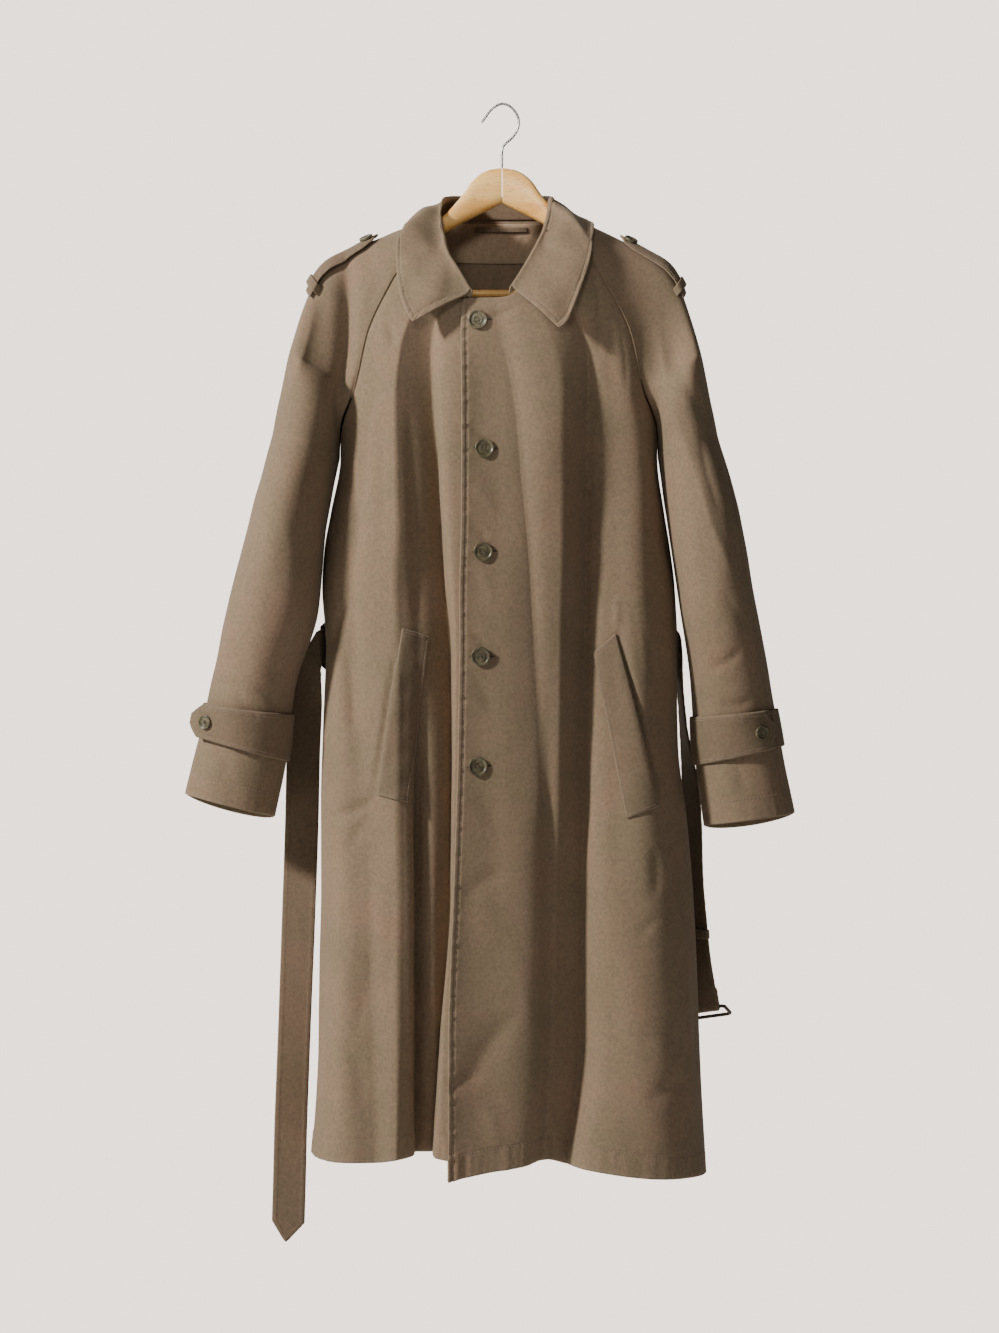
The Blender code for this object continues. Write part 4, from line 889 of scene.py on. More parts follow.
def mesh_object(name, verts, faces, uv=None, wear_and_highlight=None):
    mesh = bpy.data.meshes.new(name)
    faces = np.asarray(faces)
    mesh.vertices.add(len(verts))
    mesh.vertices.foreach_set("co", np.asarray(verts, float).ravel())
    mesh.loops.add(faces.size)
    mesh.loops.foreach_set("vertex_index", faces.ravel().astype(np.int32))
    mesh.polygons.add(len(faces))
    mesh.polygons.foreach_set(
        "loop_start", np.arange(0, faces.size, faces.shape[1],
                                dtype=np.int32))
    mesh.polygons.foreach_set(
        "use_smooth", np.ones(len(faces), dtype=bool))
    mesh.update(calc_edges=True)
    if uv is not None:
        layer = mesh.uv_layers.new(name="UVMap")
        layer.data.foreach_set("uv", uv[faces.ravel()].ravel())
    if wear_and_highlight is not None:
        data = mesh.attributes.new("wear_and_highlight", "FLOAT", "POINT")
        data.data.foreach_set("value", np.clip(wear_and_highlight, -1, 1))
    mesh.validate()
    ob = bpy.data.objects.new(name, mesh)
    bpy.context.scene.collection.objects.link(ob)
    return ob


# ---------------------------------------------------------- materials
def new_material(name):
    mat = bpy.data.materials.new(name)
    mat.use_nodes = True
    nodes, links = mat.node_tree.nodes, mat.node_tree.links
    return mat, nodes, links, nodes["Principled BSDF"]


def noise(nodes, links, vector, scale, detail=2.0, rough=0.5):
    node = nodes.new("ShaderNodeTexNoise")
    node.inputs["Scale"].default_value = scale
    node.inputs["Detail"].default_value = detail
    node.inputs["Roughness"].default_value = rough
    links.new(vector, node.inputs["Vector"])
    return node.outputs["Fac"]


def ramp(nodes, links, value, stops):
    node = nodes.new("ShaderNodeValToRGB")
    bar = node.color_ramp
    while len(bar.elements) < len(stops):
        bar.elements.new(0.5)
    for element, (at, colour) in zip(bar.elements, stops):
        element.position = at
        element.color = tuple(colour) + (1.0,)
    links.new(value, node.inputs["Fac"])
    return node.outputs["Color"]


def mix_colour(nodes, links, factor, a, b, kind="MIX"):
    node = nodes.new("ShaderNodeMix")
    node.data_type = "RGBA"
    node.blend_type = kind
    sockets = [s for s in node.inputs if s.enabled]
    for socket, value in zip(sockets, (factor, a, b)):
        if hasattr(value, "is_linked"):
            links.new(value, socket)
        elif isinstance(value, (int, float)):
            socket.default_value = value
        else:
            socket.default_value = tuple(value) + (1.0,)
    return [s for s in node.outputs if s.enabled][0]


def maths(nodes, links, operation, a, b=0.0, c=None):
    node = nodes.new("ShaderNodeMath")
    node.operation = operation
    for socket, value in zip(node.inputs, (a, b, c)):
        if value is None:
            continue
        if hasattr(value, "is_linked"):
            links.new(value, socket)
        else:
            socket.default_value = value
    return node.outputs["Value"]


def bump(nodes, links, shader, height, strength, distance, after=None):
    node = nodes.new("ShaderNodeBump")
    node.inputs["Strength"].default_value = strength
    node.inputs["Distance"].default_value = distance
    links.new(height, node.inputs["Height"])
    if after is not None:
        links.new(after, node.inputs["Normal"])
    links.new(node.outputs["Normal"], shader.inputs["Normal"])
    return node.outputs["Normal"]


def gabardine(name, tone=1.0):
    """Cotton twill: slanting ribs, mottled brown, paler with wear on the edges
    and paler on fold crests as painted highlight.
    """
    mat, nodes, links, shader = new_material(name)
    place = nodes.new("ShaderNodeTexCoord").outputs["Object"]
    uv = nodes.new("ShaderNodeUVMap")
    uv.uv_map = "UVMap"
    uv = uv.outputs["UV"]
    broad = noise(nodes, links, place, 5.5, 3.0, 0.6)
    patch = noise(nodes, links, place, 17.0, 3.0, 0.65)
    fine = noise(nodes, links, place, 260.0, 2.0, 0.6)

    def t(*rgb):
        return tuple(c * tone for c in rgb)

    base = ramp(nodes, links, broad, (
        (0.30, t(0.205, 0.150, 0.098)), (0.50, t(0.222, 0.162, 0.106)),
        (0.70, t(0.238, 0.170, 0.114))))
    warm = ramp(nodes, links, patch, (
        (0.34, (0.93, 0.97, 0.93)), (0.50, (1.0, 1.0, 1.0)),
        (0.66, (1.07, 1.01, 1.02))))
    colour = mix_colour(nodes, links, 1.0, base, warm, "MULTIPLY")
    flecks = ramp(nodes, links, fine, (
        (0.30, (0.86, 0.86, 0.86)), (0.5, (1.0, 1.0, 1.0)),
        (0.70, (1.12, 1.12, 1.12))))
    colour = mix_colour(nodes, links, 1.0, colour, flecks, "MULTIPLY")
    turn = nodes.new("ShaderNodeMapping")
    turn.inputs["Rotation"].default_value = (0, 0, math.radians(-27))
    links.new(uv, turn.inputs["Vector"])
    ribs = nodes.new("ShaderNodeTexWave")
    ribs.wave_type, ribs.bands_direction = "BANDS", "X"
    ribs.inputs["Scale"].default_value = 330.0
    ribs.inputs["Distortion"].default_value = 1.2
    ribs.inputs["Detail"].default_value = 1.0
    ribs.inputs["Detail Scale"].default_value = 2.0
    links.new(turn.outputs["Vector"], ribs.inputs["Vector"])
    shade = ramp(nodes, links, ribs.outputs["Fac"], (
        (0.0, (0.90, 0.90, 0.90)), (1.0, (1.06, 1.06, 1.06))))
    colour = mix_colour(nodes, links, 1.0, colour, shade, "MULTIPLY")
    # Paler colour from the wear attribute: real wear on the edges, painted
    # highlight on the crests of folds.
    wear_and_highlight = nodes.new("ShaderNodeAttribute")
    wear_and_highlight.attribute_name = "wear_and_highlight"
    scuff = noise(nodes, links, place, 90.0, 3.0, 0.7)
    amount = maths(nodes, links, "MULTIPLY", wear_and_highlight.outputs["Fac"],
                   maths(nodes, links, "ADD", scuff, 0.1))
    amount = maths(nodes, links, "MULTIPLY", amount, 0.36)
    amount = maths(nodes, links, "MAXIMUM", amount, 0.0)
    colour = mix_colour(nodes, links, amount, colour, t(0.36, 0.285, 0.205))
    links.new(colour, shader.inputs["Base Color"])
    rough = maths(nodes, links, "MULTIPLY_ADD", patch, 0.14, 0.76)
    links.new(rough, shader.inputs["Roughness"])
    shader.inputs["Specular IOR Level"].default_value = 0.22
    shader.inputs["Sheen Weight"].default_value = 0.16
    shader.inputs["Sheen Roughness"].default_value = 0.45
    shader.inputs["Sheen Tint"].default_value = (0.95, 0.84, 0.70, 1.0)
    slub = noise(nodes, links, place, 55.0, 4.0, 0.65)
    first = bump(nodes, links, shader, slub, 0.28, 0.0012)
    bump(nodes, links, shader, ribs.outputs["Fac"], 0.5, 0.00012, first)
    return mat


def thread(name, colour):
    mat, nodes, links, shader = new_material(name)
    place = nodes.new("ShaderNodeTexCoord").outputs["Object"]
    twist = noise(nodes, links, place, 1400.0, 1.0)
    tone = ramp(nodes, links, twist, (
        (0.3, tuple(c * 0.7 for c in colour)),
        (0.7, tuple(min(c * 1.25, 1) for c in colour))))
    links.new(tone, shader.inputs["Base Color"])
    shader.inputs["Roughness"].default_value = 0.6
    shader.inputs["Sheen Weight"].default_value = 0.2
    bump(nodes, links, shader, twist, 0.5, 0.0001)
    return mat


def beech():
    """Lacquered beech: long grain with short dark flecks."""
    mat, nodes, links, shader = new_material("beech_wood")
    place = nodes.new("ShaderNodeTexCoord").outputs["Object"]
    grain = nodes.new("ShaderNodeMapping")
    grain.inputs["Scale"].default_value = (9.0, 60.0, 75.0)
    links.new(place, grain.inputs["Vector"])
    long = noise(nodes, links, grain.outputs["Vector"], 1.0, 5.0, 0.62)
    fleck_map = nodes.new("ShaderNodeMapping")
    fleck_map.inputs["Scale"].default_value = (120.0, 700.0, 700.0)
    links.new(place, fleck_map.inputs["Vector"])
    flecks = noise(nodes, links, fleck_map.outputs["Vector"], 1.0, 2.0)
    base = ramp(nodes, links, long, (
        (0.30, (0.86, 0.42, 0.10)), (0.48, (1.0, 0.55, 0.16)),
        (0.70, (1.0, 0.68, 0.25))))
    spots = ramp(nodes, links, flecks, (
        (0.32, (0.72, 0.66, 0.60)), (0.42, (1.0, 1.0, 1.0))))
    colour = mix_colour(nodes, links, 1.0, base, spots, "MULTIPLY")
    links.new(colour, shader.inputs["Base Color"])
    shader.inputs["Roughness"].default_value = 0.42
    shader.inputs["Coat Weight"].default_value = 0.35
    shader.inputs["Coat Roughness"].default_value = 0.25
    bump(nodes, links, shader, long, 0.25, 0.0006)
    return mat


def steel():
    mat, nodes, links, shader = new_material("bright_steel_wire")
    place = nodes.new("ShaderNodeTexCoord").outputs["Object"]
    scratch = noise(nodes, links, place, 900.0, 3.0, 0.7)
    tone = ramp(nodes, links, scratch, (
        (0.3, (0.40, 0.40, 0.41)), (0.7, (0.58, 0.58, 0.59))))
    links.new(tone, shader.inputs["Base Color"])
    shader.inputs["Metallic"].default_value = 1.0
    links.new(maths(nodes, links, "MULTIPLY_ADD", scratch, 0.2, 0.2),
              shader.inputs["Roughness"])
    bump(nodes, links, shader, scratch, 0.2, 0.0001)
    return mat


def horn():
    """Mottled horn-look plastic, polished."""
    mat, nodes, links, shader = new_material("button_horn")
    place = nodes.new("ShaderNodeTexCoord").outputs["Object"]
    cloud = noise(nodes, links, place, 130.0, 4.0, 0.6)
    vein = noise(nodes, links, place, 420.0, 3.0, 0.6)
    base = ramp(nodes, links, cloud, (
        (0.32, (0.055, 0.046, 0.024)), (0.50, (0.105, 0.089, 0.048)),
        (0.68, (0.170, 0.148, 0.086))))
    veins = ramp(nodes, links, vein, (
        (0.36, (0.62, 0.60, 0.52)), (0.48, (1.0, 1.0, 1.0))))
    colour = mix_colour(nodes, links, 0.8, base, veins, "MULTIPLY")
    links.new(colour, shader.inputs["Base Color"])
    shader.inputs["Roughness"].default_value = 0.36
    shader.inputs["Coat Weight"].default_value = 0.15
    shader.inputs["Coat Roughness"].default_value = 0.18
    bump(nodes, links, shader, vein, 0.12, 0.0002)
    return mat


def leather():
    mat, nodes, links, shader = new_material("buckle_leather")
    place = nodes.new("ShaderNodeTexCoord").outputs["Object"]
    cells = nodes.new("ShaderNodeTexVoronoi")
    cells.inputs["Scale"].default_value = 900.0
    links.new(place, cells.inputs["Vector"])
    cloud = noise(nodes, links, place, 60.0, 3.0)
    base = ramp(nodes, links, cloud, (
        (0.3, (0.040, 0.024, 0.015)), (0.7, (0.088, 0.055, 0.034))))
    links.new(base, shader.inputs["Base Color"])
    links.new(maths(nodes, links, "MULTIPLY_ADD", cloud, 0.25, 0.38),
              shader.inputs["Roughness"])
    bump(nodes, links, shader, cells.outputs["Distance"], 0.4, 0.0003)
    return mat


GABARDINE = gabardine("gabardine_twill")
# Darker copy of the cloth: painted shade on straps, welts, belt, loops and
# hang loop.
SHADED_STRAP_CLOTH = gabardine("gabardine_straps_painted_shade", 0.80)
# Lighter copy of the cloth: painted light on the neck facing, which lies in
# the collar's shade.
LIT_FACING_CLOTH = gabardine("gabardine_facing_painted_light", 1.6)
SEWING = thread("sewing_thread", (0.310, 0.225, 0.170))
HOLE_THREAD = thread("buttonhole_thread", (0.120, 0.094, 0.060))
# Near-black strip in each buttonhole: painted shadow of the slit.
SLIT_SHADOW = thread("buttonhole_slit", (0.020, 0.015, 0.011))
WOOD, STEEL, HORN, LEATHER = beech(), steel(), horn(), leather()


def finish_piece(ob, mat, slot, *nodes):
    ob.data.materials.clear()
    ob.data.materials.append(mat)
    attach(ob, "root")
    if nodes:
        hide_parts(*nodes)
    return ob


# ------------------------------------------------------------ stitches
TURNS = [2 * math.pi * k / 5 for k in range(5)]
#                  along  height  radius
STITCH_RINGS = ((-0.50, -0.15, 0.10), (-0.34, 0.14, 0.20),
                (0.34, 0.14, 0.20), (0.50, -0.15, 0.10))


def stitch_mesh(name, starts, ends, normals, mat, thick=1.0):
    """Short threads from starts to ends, lying on the cloth."""
    starts, ends = np.asarray(starts), np.asarray(ends)
    normals = unit(np.asarray(normals))
    way = ends - starts
    side = unit(np.cross(normals, way))
    mid = (starts + ends) / 2
    rings = []
    for a, up, radius in STITCH_RINGS:
        for turn in TURNS:
            rings.append(mid + way * a
                         + side * (math.cos(turn) * radius * MM * thick)
                         + normals * ((up + math.sin(turn) * radius)
                                      * MM * thick))
    verts = np.stack(rings, 1)
    per = verts.shape[1]
    faces = []
    for ring in range(len(STITCH_RINGS) - 1):
        for k in range(5):
            a, b = ring * 5 + k, ring * 5 + (k + 1) % 5
            faces.append((a, b, b + 5, a + 5))
    last = (len(STITCH_RINGS) - 1) * 5
    faces += [(0, 4, 3, 3), (3, 2, 1, 0),
              (last, last + 1, last + 2, last + 3),
              (last + 3, last + 4, last, last)]
    quads = [f for f in faces if len(set(f)) == 4]
    base = np.arange(len(verts))[:, None, None] * per
    all_faces = (np.array(quads)[None] + base).reshape(-1, 4)
    ob = mesh_object(name, verts.reshape(-1, 3), all_faces)
    bm = bmesh.new()
    bm.from_mesh(ob.data)
    edges = [e for e in bm.edges if e.is_boundary]
    bmesh.ops.holes_fill(bm, edges=edges, sides=8)
    bmesh.ops.recalc_face_normals(bm, faces=bm.faces)
    bm.to_mesh(ob.data)
    bm.free()
    ob.data.materials.append(mat)
    return ob


def sew(name, runs, mat=None, pitch=PITCH, length=STITCH):
    """Stitches along each run of points and normals, as one piece."""
    starts, ends, normals = [], [], []
    for points, nrm in runs:
        d = along(points)
        if d[-1] < 2 * pitch:
            continue
        at = np.arange(pitch * 0.4, d[-1] - length, pitch)
        for store, shift in ((starts, 0.0), (ends, length)):
            store.append(np.stack([np.interp(at + shift, d, points[:, a])
                                   for a in range(3)], -1))
        normals.append(np.stack([np.interp(at + length / 2, d, nrm[:, a])
                                 for a in range(3)], -1))
    ob = stitch_mesh(name, np.concatenate(starts), np.concatenate(ends),
                     np.concatenate(normals), mat or SEWING, 1.6)
    return finish_piece(ob, mat or SEWING, "gabardine")


def lifted_run(run, lift):
    return run[0] + run[1] * lift, run[1]


def groove(distance, centre, width, depth):
    return depth * np.exp(-((distance - centre) / width) ** 2)


def pucker(s, distance, reach, depth, seed):
    """Small waves across the strip between an edge and its stitching."""
    rs = np.random.RandomState(seed)
    wave = sum(np.sin(2 * math.pi * s / size + rs.uniform(0, 6.3))
               for size in (0.0072, 0.0098, 0.0141, 0.023)) / 3
    fade = smooth(1.25 - distance / reach)
    return depth * wave * fade


# --------------------------------------------------------- body panels
PANEL_V = spread((0.0, 0.012, 1), (0.012, 0.13, 5), (0.13, 0.22, 9),
                 (0.22, 1.0, 34), (1, 2, 46), (2, 3, 42), (3, 4, 42),
                 (4, 5, 27), (5, 6, 29), (6, 7, 19), (7, 8, 17), (8, 9, 16),
                 (9, 9.95, 14), (9.95, 10.0, 1))
FRONT_LEFT_U = spread((0.0, 0.15, 14), (0.15, 1.0, 24), (1, 2, 8),
                      (2, 3, 13), (3, 4, 12), (4, 5, 13), (5, 5.94, 24),
                      (5.94, 6.0, 3))
FRONT_RIGHT_U = spread((0.0, 1.0, 16), (1, 2, 9), (2, 3, 16), (3, 4, 13),
                       (4, 5, 10), (5, 5.94, 26), (5.94, 6.0, 3))
BACK_U = spread((0.0, 0.05, 3), (0.05, 1, 25), (1, 2, 14), (2, 3, 15),
                (3, 4, 19), (4, 5, 21), (5, 6, 17), (6, 7, 17),
                (7, 7.95, 25), (7.95, 8.0, 3))


def seam_roll(distance):
    """How far a sewn edge sinks into its seam."""
    return 0.0011 * np.exp(-(distance / 0.0021) ** 1.4)


def hem_waves(cloth, seed):
    """Small upright ripples of the turned and stitched hem."""
    s, t = cloth.s, cloth.t
    rs = np.random.RandomState(seed)
    wave = 0.0
    for size in (0.0093, 0.0117, 0.0151, 0.0212, 0.031):
        bow = 0.15 * np.sin(t / 0.02 + rs.uniform(0, 6))
        wave = wave + np.sin(2 * math.pi * s / size
                             + rs.uniform(0, 6.3) + bow)
    inside = smooth((0.034 - t) / 0.012)
    some = 0.55 + 0.45 * np.sin(s / 0.037 + rs.uniform(0, 6.3))
    return 0.00034 * wave * inside * some


def make_panel(panel, us, out, seams, seed):
    """seams: which of the first and last column are sewn to a neighbour."""
    rows = np.array([panel.points(us, v) for v in PANEL_V])
    cloth = Cloth(rows, out, us, PANEL_V)
    first, last, hem, top = cloth.edge_distance()
    # sewn edges: pulled back by the seam's half gap
    for sewn, k, j in ((seams[0], 0, 1), (seams[1], -1, -2)):
        if sewn:
            cloth.p[:, k] += unit(cloth.p[:, j] - cloth.p[:, k]) * SEAM
    cloth.p[-1] += unit(cloth.p[-2] - cloth.p[-1]) * SEAM
    cloth.renew()
    keep = smooth(top / 0.03)
    depth = np.zeros(rows.shape[:2])
    for sewn, d in ((seams[0], first), (seams[1], last)):
        if sewn:
            keep = keep * smooth(d / 0.022)
            depth += seam_roll(d)
    soft = 0.0009 * rumple(cloth.p, 0.11, (1, 1, 0.35), 0, 12)
    soft += 0.0004 * rumple(cloth.p, 0.045, (1, 1, 0.5), 12, 12)
    depth += keep * (folds(cloth, FOLDS) + soft)
    depth += hem_waves(cloth, seed) + groove(hem, HEM_SEW, 0.0014, 0.00045)
    if not seams[0]:
        depth += groove(first, EDGE_SEW, 0.0015, 0.00095)
        depth += pucker(hem, first, 0.012, 0.00105, seed + 5)
        if panel is FRONT_LEFT:
            depth += groove(top, EDGE_SEW, 0.0012, 0.00035)
    cloth.press(depth)
    return cloth


def build_body():
    cloths = {}
    for name, panel, us, out, seams, seed in (
            ("front_left", FRONT_LEFT, FRONT_LEFT_U, 1.0, (0, 1), 3),
            ("front_right", FRONT_RIGHT, FRONT_RIGHT_U, -1.0, (0, 1), 4),
            ("back", BACK, BACK_U, -1.0, (1, 1), 5)):
        cloth = make_panel(panel, us, out, seams, seed)
        hem = cloth.edge_distance()[2]
        wall = CLOTH + 0.0009 * smooth((HEM_SEW + 0.002 - hem) / 0.002)
        # Painted highlight: the crests of the folds get a paler colour.
        ridge = 0.25 * np.clip(-folds(cloth, FOLDS) / 0.002, 0, 1)
        ob = shell("cloth_" + name, cloth, wall, crest_highlight=ridge,
                   free=(not seams[0], not seams[1], 1, 0))
        finish_piece(ob, GABARDINE, "gabardine", name)
        cloths[name] = cloth
    left = cloths["front_left"]
    runs = [lifted_run(left.line(2, HEM_SEW), 0.0001),
            lifted_run(left.line(0, EDGE_SEW), 0.0001)]
    sew("sewing_front_left", runs)
    right = cloths["front_right"]
    sew("sewing_front_right",
        [lifted_run(right.line(2, HEM_SEW), 0.0001)])
    sew("sewing_back", [lifted_run(cloths["back"].line(2, HEM_SEW),
                                   0.0001)])
    return cloths


# ------------------------------------------------------------- sleeves
SLEEVE_V = spread((0.0, 0.02, 1), (0.02, 1, 16), (1, 2, 19), (2, 3, 24),
                  (3, 4, 26), (4, 8.72, 112), (8.72, 8.98, 10),
                  (8.98, 9.0, 1))
SLEEVE_W = spread((0.0, 0.03, 3), (0.03, 0.95, 42), (0.95, 0.982, 3),
                  (0.982, 1.018, 6), (1.018, 1.05, 3), (1.05, 1.97, 42),
                  (1.97, 2.0, 3))


def build_sleeves():
    cloths = {}
    for name, sleeve, drift, seed in (
            ("left", SLEEVE_LEFT, -0.19, 21), ("right", SLEEVE_RIGHT,
                                               0.12, 22)):
        rows, where = [], []
        for v in SLEEVE_V:
            move = drift * smooth((v - 3.3) / 2.0)
            ws = SLEEVE_W + move * (1 - np.abs(SLEEVE_W - 1)) ** 2
            rows.append(sleeve.points(ws, v))
            where.append(ws)
        cloth = Cloth(np.array(rows), float(sleeve.sign),
                      np.array(where), SLEEVE_V)
        # the normals have to face out of the sleeve
        mid = cloth.p.mean(axis=1, keepdims=True)
        if ((cloth.p - mid) * cloth.n).sum() < 0:
            cloth.out = -cloth.out
            cloth.renew()
        for k, j in ((0, 1), (-1, -2)):
            cloth.p[:, k] += unit(cloth.p[:, j] - cloth.p[:, k]) * SEAM
        cloth.p[0] += unit(cloth.p[1] - cloth.p[0]) * SEAM
        cloth.renew()
        first, last, top, cuff = cloth.edge_distance()
        keep = smooth(first / 0.022) * smooth(last / 0.022)
        keep = keep * smooth((top - 0.02) / 0.05)
        depth = seam_roll(first) + seam_roll(last)
        soft = 0.0009 * rumple(cloth.p, 0.10, (1, 1, 0.4), 20, 12)
        soft += 0.0004 * rumple(cloth.p, 0.04, (1, 1, 0.6), 8, 12)
        depth += keep * (folds(cloth, SLEEVE_FOLDS) + soft)
        mid_col = len(SLEEVE_W) // 2
        to_seam = np.abs(cloth.s - cloth.s[:, mid_col:mid_col + 1])
        depth += 0.0014 * np.exp(-(to_seam / 0.0014) ** 1.4)
        depth += groove(cuff, 0.026, 0.0013, 0.0003)
        depth += pucker(cloth.s, cuff, 0.028, 0.00030, seed)
        cloth.press(depth)
        wall = CLOTH + 0.0007 * smooth((0.028 - cuff) / 0.002)
        ob = shell("cloth_sleeve_" + name, cloth, wall, free=(0, 0, 0, 1))
        finish_piece(ob, GABARDINE, "gabardine",
                     "sleeve_%s_front" % name, "sleeve_%s_back" % name)
        cloths[name] = cloth
        sew("sewing_sleeve_" + name,
            [lifted_run(cloth.line(3, 0.026), 0.0001)])
    return cloths


# -------------------------------------------------------------- collar
def shoulder_tree():
    """The cloth's outer face round the neck, for laying the collar on."""
    points, faces = [], []

    def add(rows):
        base, wide = len(points), len(rows[0])
        for row in rows:
            points.extend(Vector(p) for p in row)
        for j in range(len(rows) - 1):
            for i in range(wide - 1):
                a = base + j * wide + i
                faces.append((a, a + 1, a + 1 + wide, a + wide))

    for panel in (FRONT_LEFT, FRONT_RIGHT, BACK):
        add([panel.points(steps(0, panel.last, 40), v)
             for v in steps(6.5, 10, 28)])
    for sleeve in (SLEEVE_LEFT, SLEEVE_RIGHT):
        add([sleeve.points(steps(0, 2, 32), v) for v in steps(0, 3, 24)])
    return BVHTree.FromPolygons(points, faces)


def clear_of(tree, point, gap):
    """The point, moved out from inside the coat to a gap over the cloth."""
    inside = np.array([point[0] * 0.5, 0.0, point[2] - 0.05])
    way = unit(point - inside)
    hit, _, _, dist = tree.ray_cast(Vector(inside), Vector(way), 0.25)
    if hit is None or np.linalg.norm(point - inside) > dist + gap:
        return point
    return inside + way * (dist + gap)


def collar_rows():
    """Sections of the collar: stand, roll and fall."""
    tree = shoulder_tree()
    stations = []
    for sleeve, table in ((SLEEVE_RIGHT, COLLAR_RIGHT),
                          (SLEEVE_LEFT, COLLAR_LEFT)):
        half = []
        for row in table:
            q = row[0] if sleeve is SLEEVE_RIGHT else 6 - row[0]
            half.append(np.array((q,) + tuple(c * MM for c in row[1:])))
        stations.append(half)
    line = np.array(stations[0] + stations[1][-2::-1])
    knots = np.arange(len(line))
    rows = []
    count = len(line) - 1
    for t in steps(0, count, 32):
        s = curve(knots, line, t)
        q, roll, edge = float(s[0]), s[1:4], s[4:7]
        if q <= 3:
            neck = neck_point(SLEEVE_RIGHT, FRONT_RIGHT, q, COLLAR_GAP)
        else:
            neck = neck_point(SLEEVE_LEFT, FRONT_LEFT, 6 - q, COLLAR_GAP)
        out = edge - roll
        out[2] = 0
        out = unit(out)
        lip = roll + out * ROLL_D + np.array([0, 0, -0.0012])
        top = roll + out * ROLL_D * 0.5 + np.array([0, 0, ROLL_D * 0.45])
        mid = (roll + edge) / 2
        away = unit(np.array([mid[0] * 0.6, mid[1], 0]))
        near = min(t, count - t)
        bulge = np.interp(near, *np.array(FALL_BULGE).T) * MM
        rise = 0.9 * min(t, count - t, 4) / 4
        sag = unit(away + np.array([0, 0, rise])) * bulge
        fall = [lip, lip * 0.66 + edge * 0.34 + sag,
                lip * 0.33 + edge * 0.67 + sag, edge]
        fall = [clear_of(tree, p, g) for p, g in zip(fall, FALL_GAPS)]
        rows.append([neck, neck * 0.5 + roll * 0.5, roll, top] + fall)
    return np.array(rows)


def build_collar():
    base = collar_rows()
    ends = spread((0.0, 0.45, 12), (0.45, 31.55, 200), (31.55, 32.0, 12))
    long = curve(range(len(base)), base, ends)
    chord = np.concatenate([[0], np.cumsum(np.linalg.norm(
        np.diff(base, axis=1), axis=-1).mean(axis=0))])
    total = chord[-1]
    across = np.unique(np.concatenate([
        spread((0.0, chord[1], 6), (chord[1], chord[2], 7),
               (chord[2], chord[4], 12), (chord[4], total - 0.010, 14)),
        spread((total - 0.010, total, 11))]))
    rows = np.stack([curve(chord, row, across) for row in long])
    cloth = Cloth(rows, 1.0)
    # the outer side is the one seen on the fall
    if cloth.n[112, -12, 1] * 1.0 < 0:
        cloth.out = -1.0
        cloth.renew()
    first, last, neck, edge = (cloth.t, cloth.t[-1:] - cloth.t, cloth.s,
                               cloth.s[:, -1:] - cloth.s)
    fall = smooth((neck - chord[3]) / 0.01)
    border = np.minimum(edge, np.where(fall > 0, np.minimum(first, last),
                                       1.0))
    depth = groove(border, EDGE_SEW, 0.0014, 0.00075) * fall
    depth += pucker(cloth.t + neck, border, 0.011, 0.00050, 31) * fall
    free = fall * smooth(edge / 0.012) * 0.0012
    depth += free * rumple(cloth.p, 0.05, (1, 1, 1), 4, 10)
    depth += fall * smooth(edge / 0.012) * folds(cloth, COLLAR_FOLDS)
    cloth.press(depth)
    ob = shell("cloth_collar", cloth, COLLAR_WALL, offset=0.0,
               free=(0, 1, 1, 1))
    finish_piece(ob, GABARDINE, "gabardine", "collar")
    top = COLLAR_WALL / 2
    along_edge = cloth.line(1, EDGE_SEW)
    keep = (along(along_edge[0]) > EDGE_SEW) & (
        along(along_edge[0])[-1] - along(along_edge[0]) > EDGE_SEW)
    runs = [(along_edge[0][keep] + along_edge[1][keep] * top,
             along_edge[1][keep])]
    first_fall = int(np.searchsorted(across, chord[4]))
    for border_id in (2, 3):
        p, n = cloth.line(border_id, EDGE_SEW)
        d = along(p)
        ok = (np.arange(len(p)) > first_fall) & (d[-1] - d > EDGE_SEW)
        runs.append((p[ok] + n[ok] * top, n[ok]))
    sew("sewing_collar", runs)
    return cloth


def build_facing():
    us = np.linspace(0.6, BACK.last - 0.6, 110)
    vs = np.linspace(9.36, 9.955, 22)
    rows = np.array([BACK.points(us, v, -CLOTH - 0.0012) for v in vs])
    cloth = Cloth(rows, 1.0)
    if cloth.n[10, 55, 1] > 0:
        cloth.out = -1.0
        cloth.renew()
    _, _, low, top = cloth.edge_distance()
    gather = sum(np.sin(2 * math.pi * cloth.s / size + size * 900)
                 for size in (0.013, 0.019, 0.033)) / 3
    depth = -0.0005 * gather * smooth(top / 0.02) * smooth(low / 0.004)
    depth += groove(low, 0.003, 0.001, 0.0003)
    cloth.press(depth)
    ob = shell("cloth_neck_facing", cloth, CLOTH, offset=1.0)
    # The facing takes the lighter copy of the cloth: painted light.
    finish_piece(ob, LIT_FACING_CLOTH, "gabardine", "neck_facing")
    sew("sewing_neck_facing",
        [lifted_run(cloth.line(2, 0.003), CLOTH + 0.0001)])
    rows = []
    for v in np.linspace(9.83, 9.90, 6):
        t = np.linspace(-1, 1, 60)
        u = BACK.last / 2 + t * 0.95
        bow = -0.0055 - 0.0026 * np.cos(t * math.pi / 2)
        rows.append(BACK.points(u, v, bow))
    cloth = Cloth(np.array(rows), 1.0)
    if cloth.n[3, 30, 1] > 0:
        cloth.out = -1.0
        cloth.renew()
    ob = shell("cloth_hang_loop", cloth, 0.0013, offset=0.0)
    # The hang loop takes the darker copy of the cloth: painted shade.
    finish_piece(ob, SHADED_STRAP_CLOTH, "gabardine", "hang_loop")


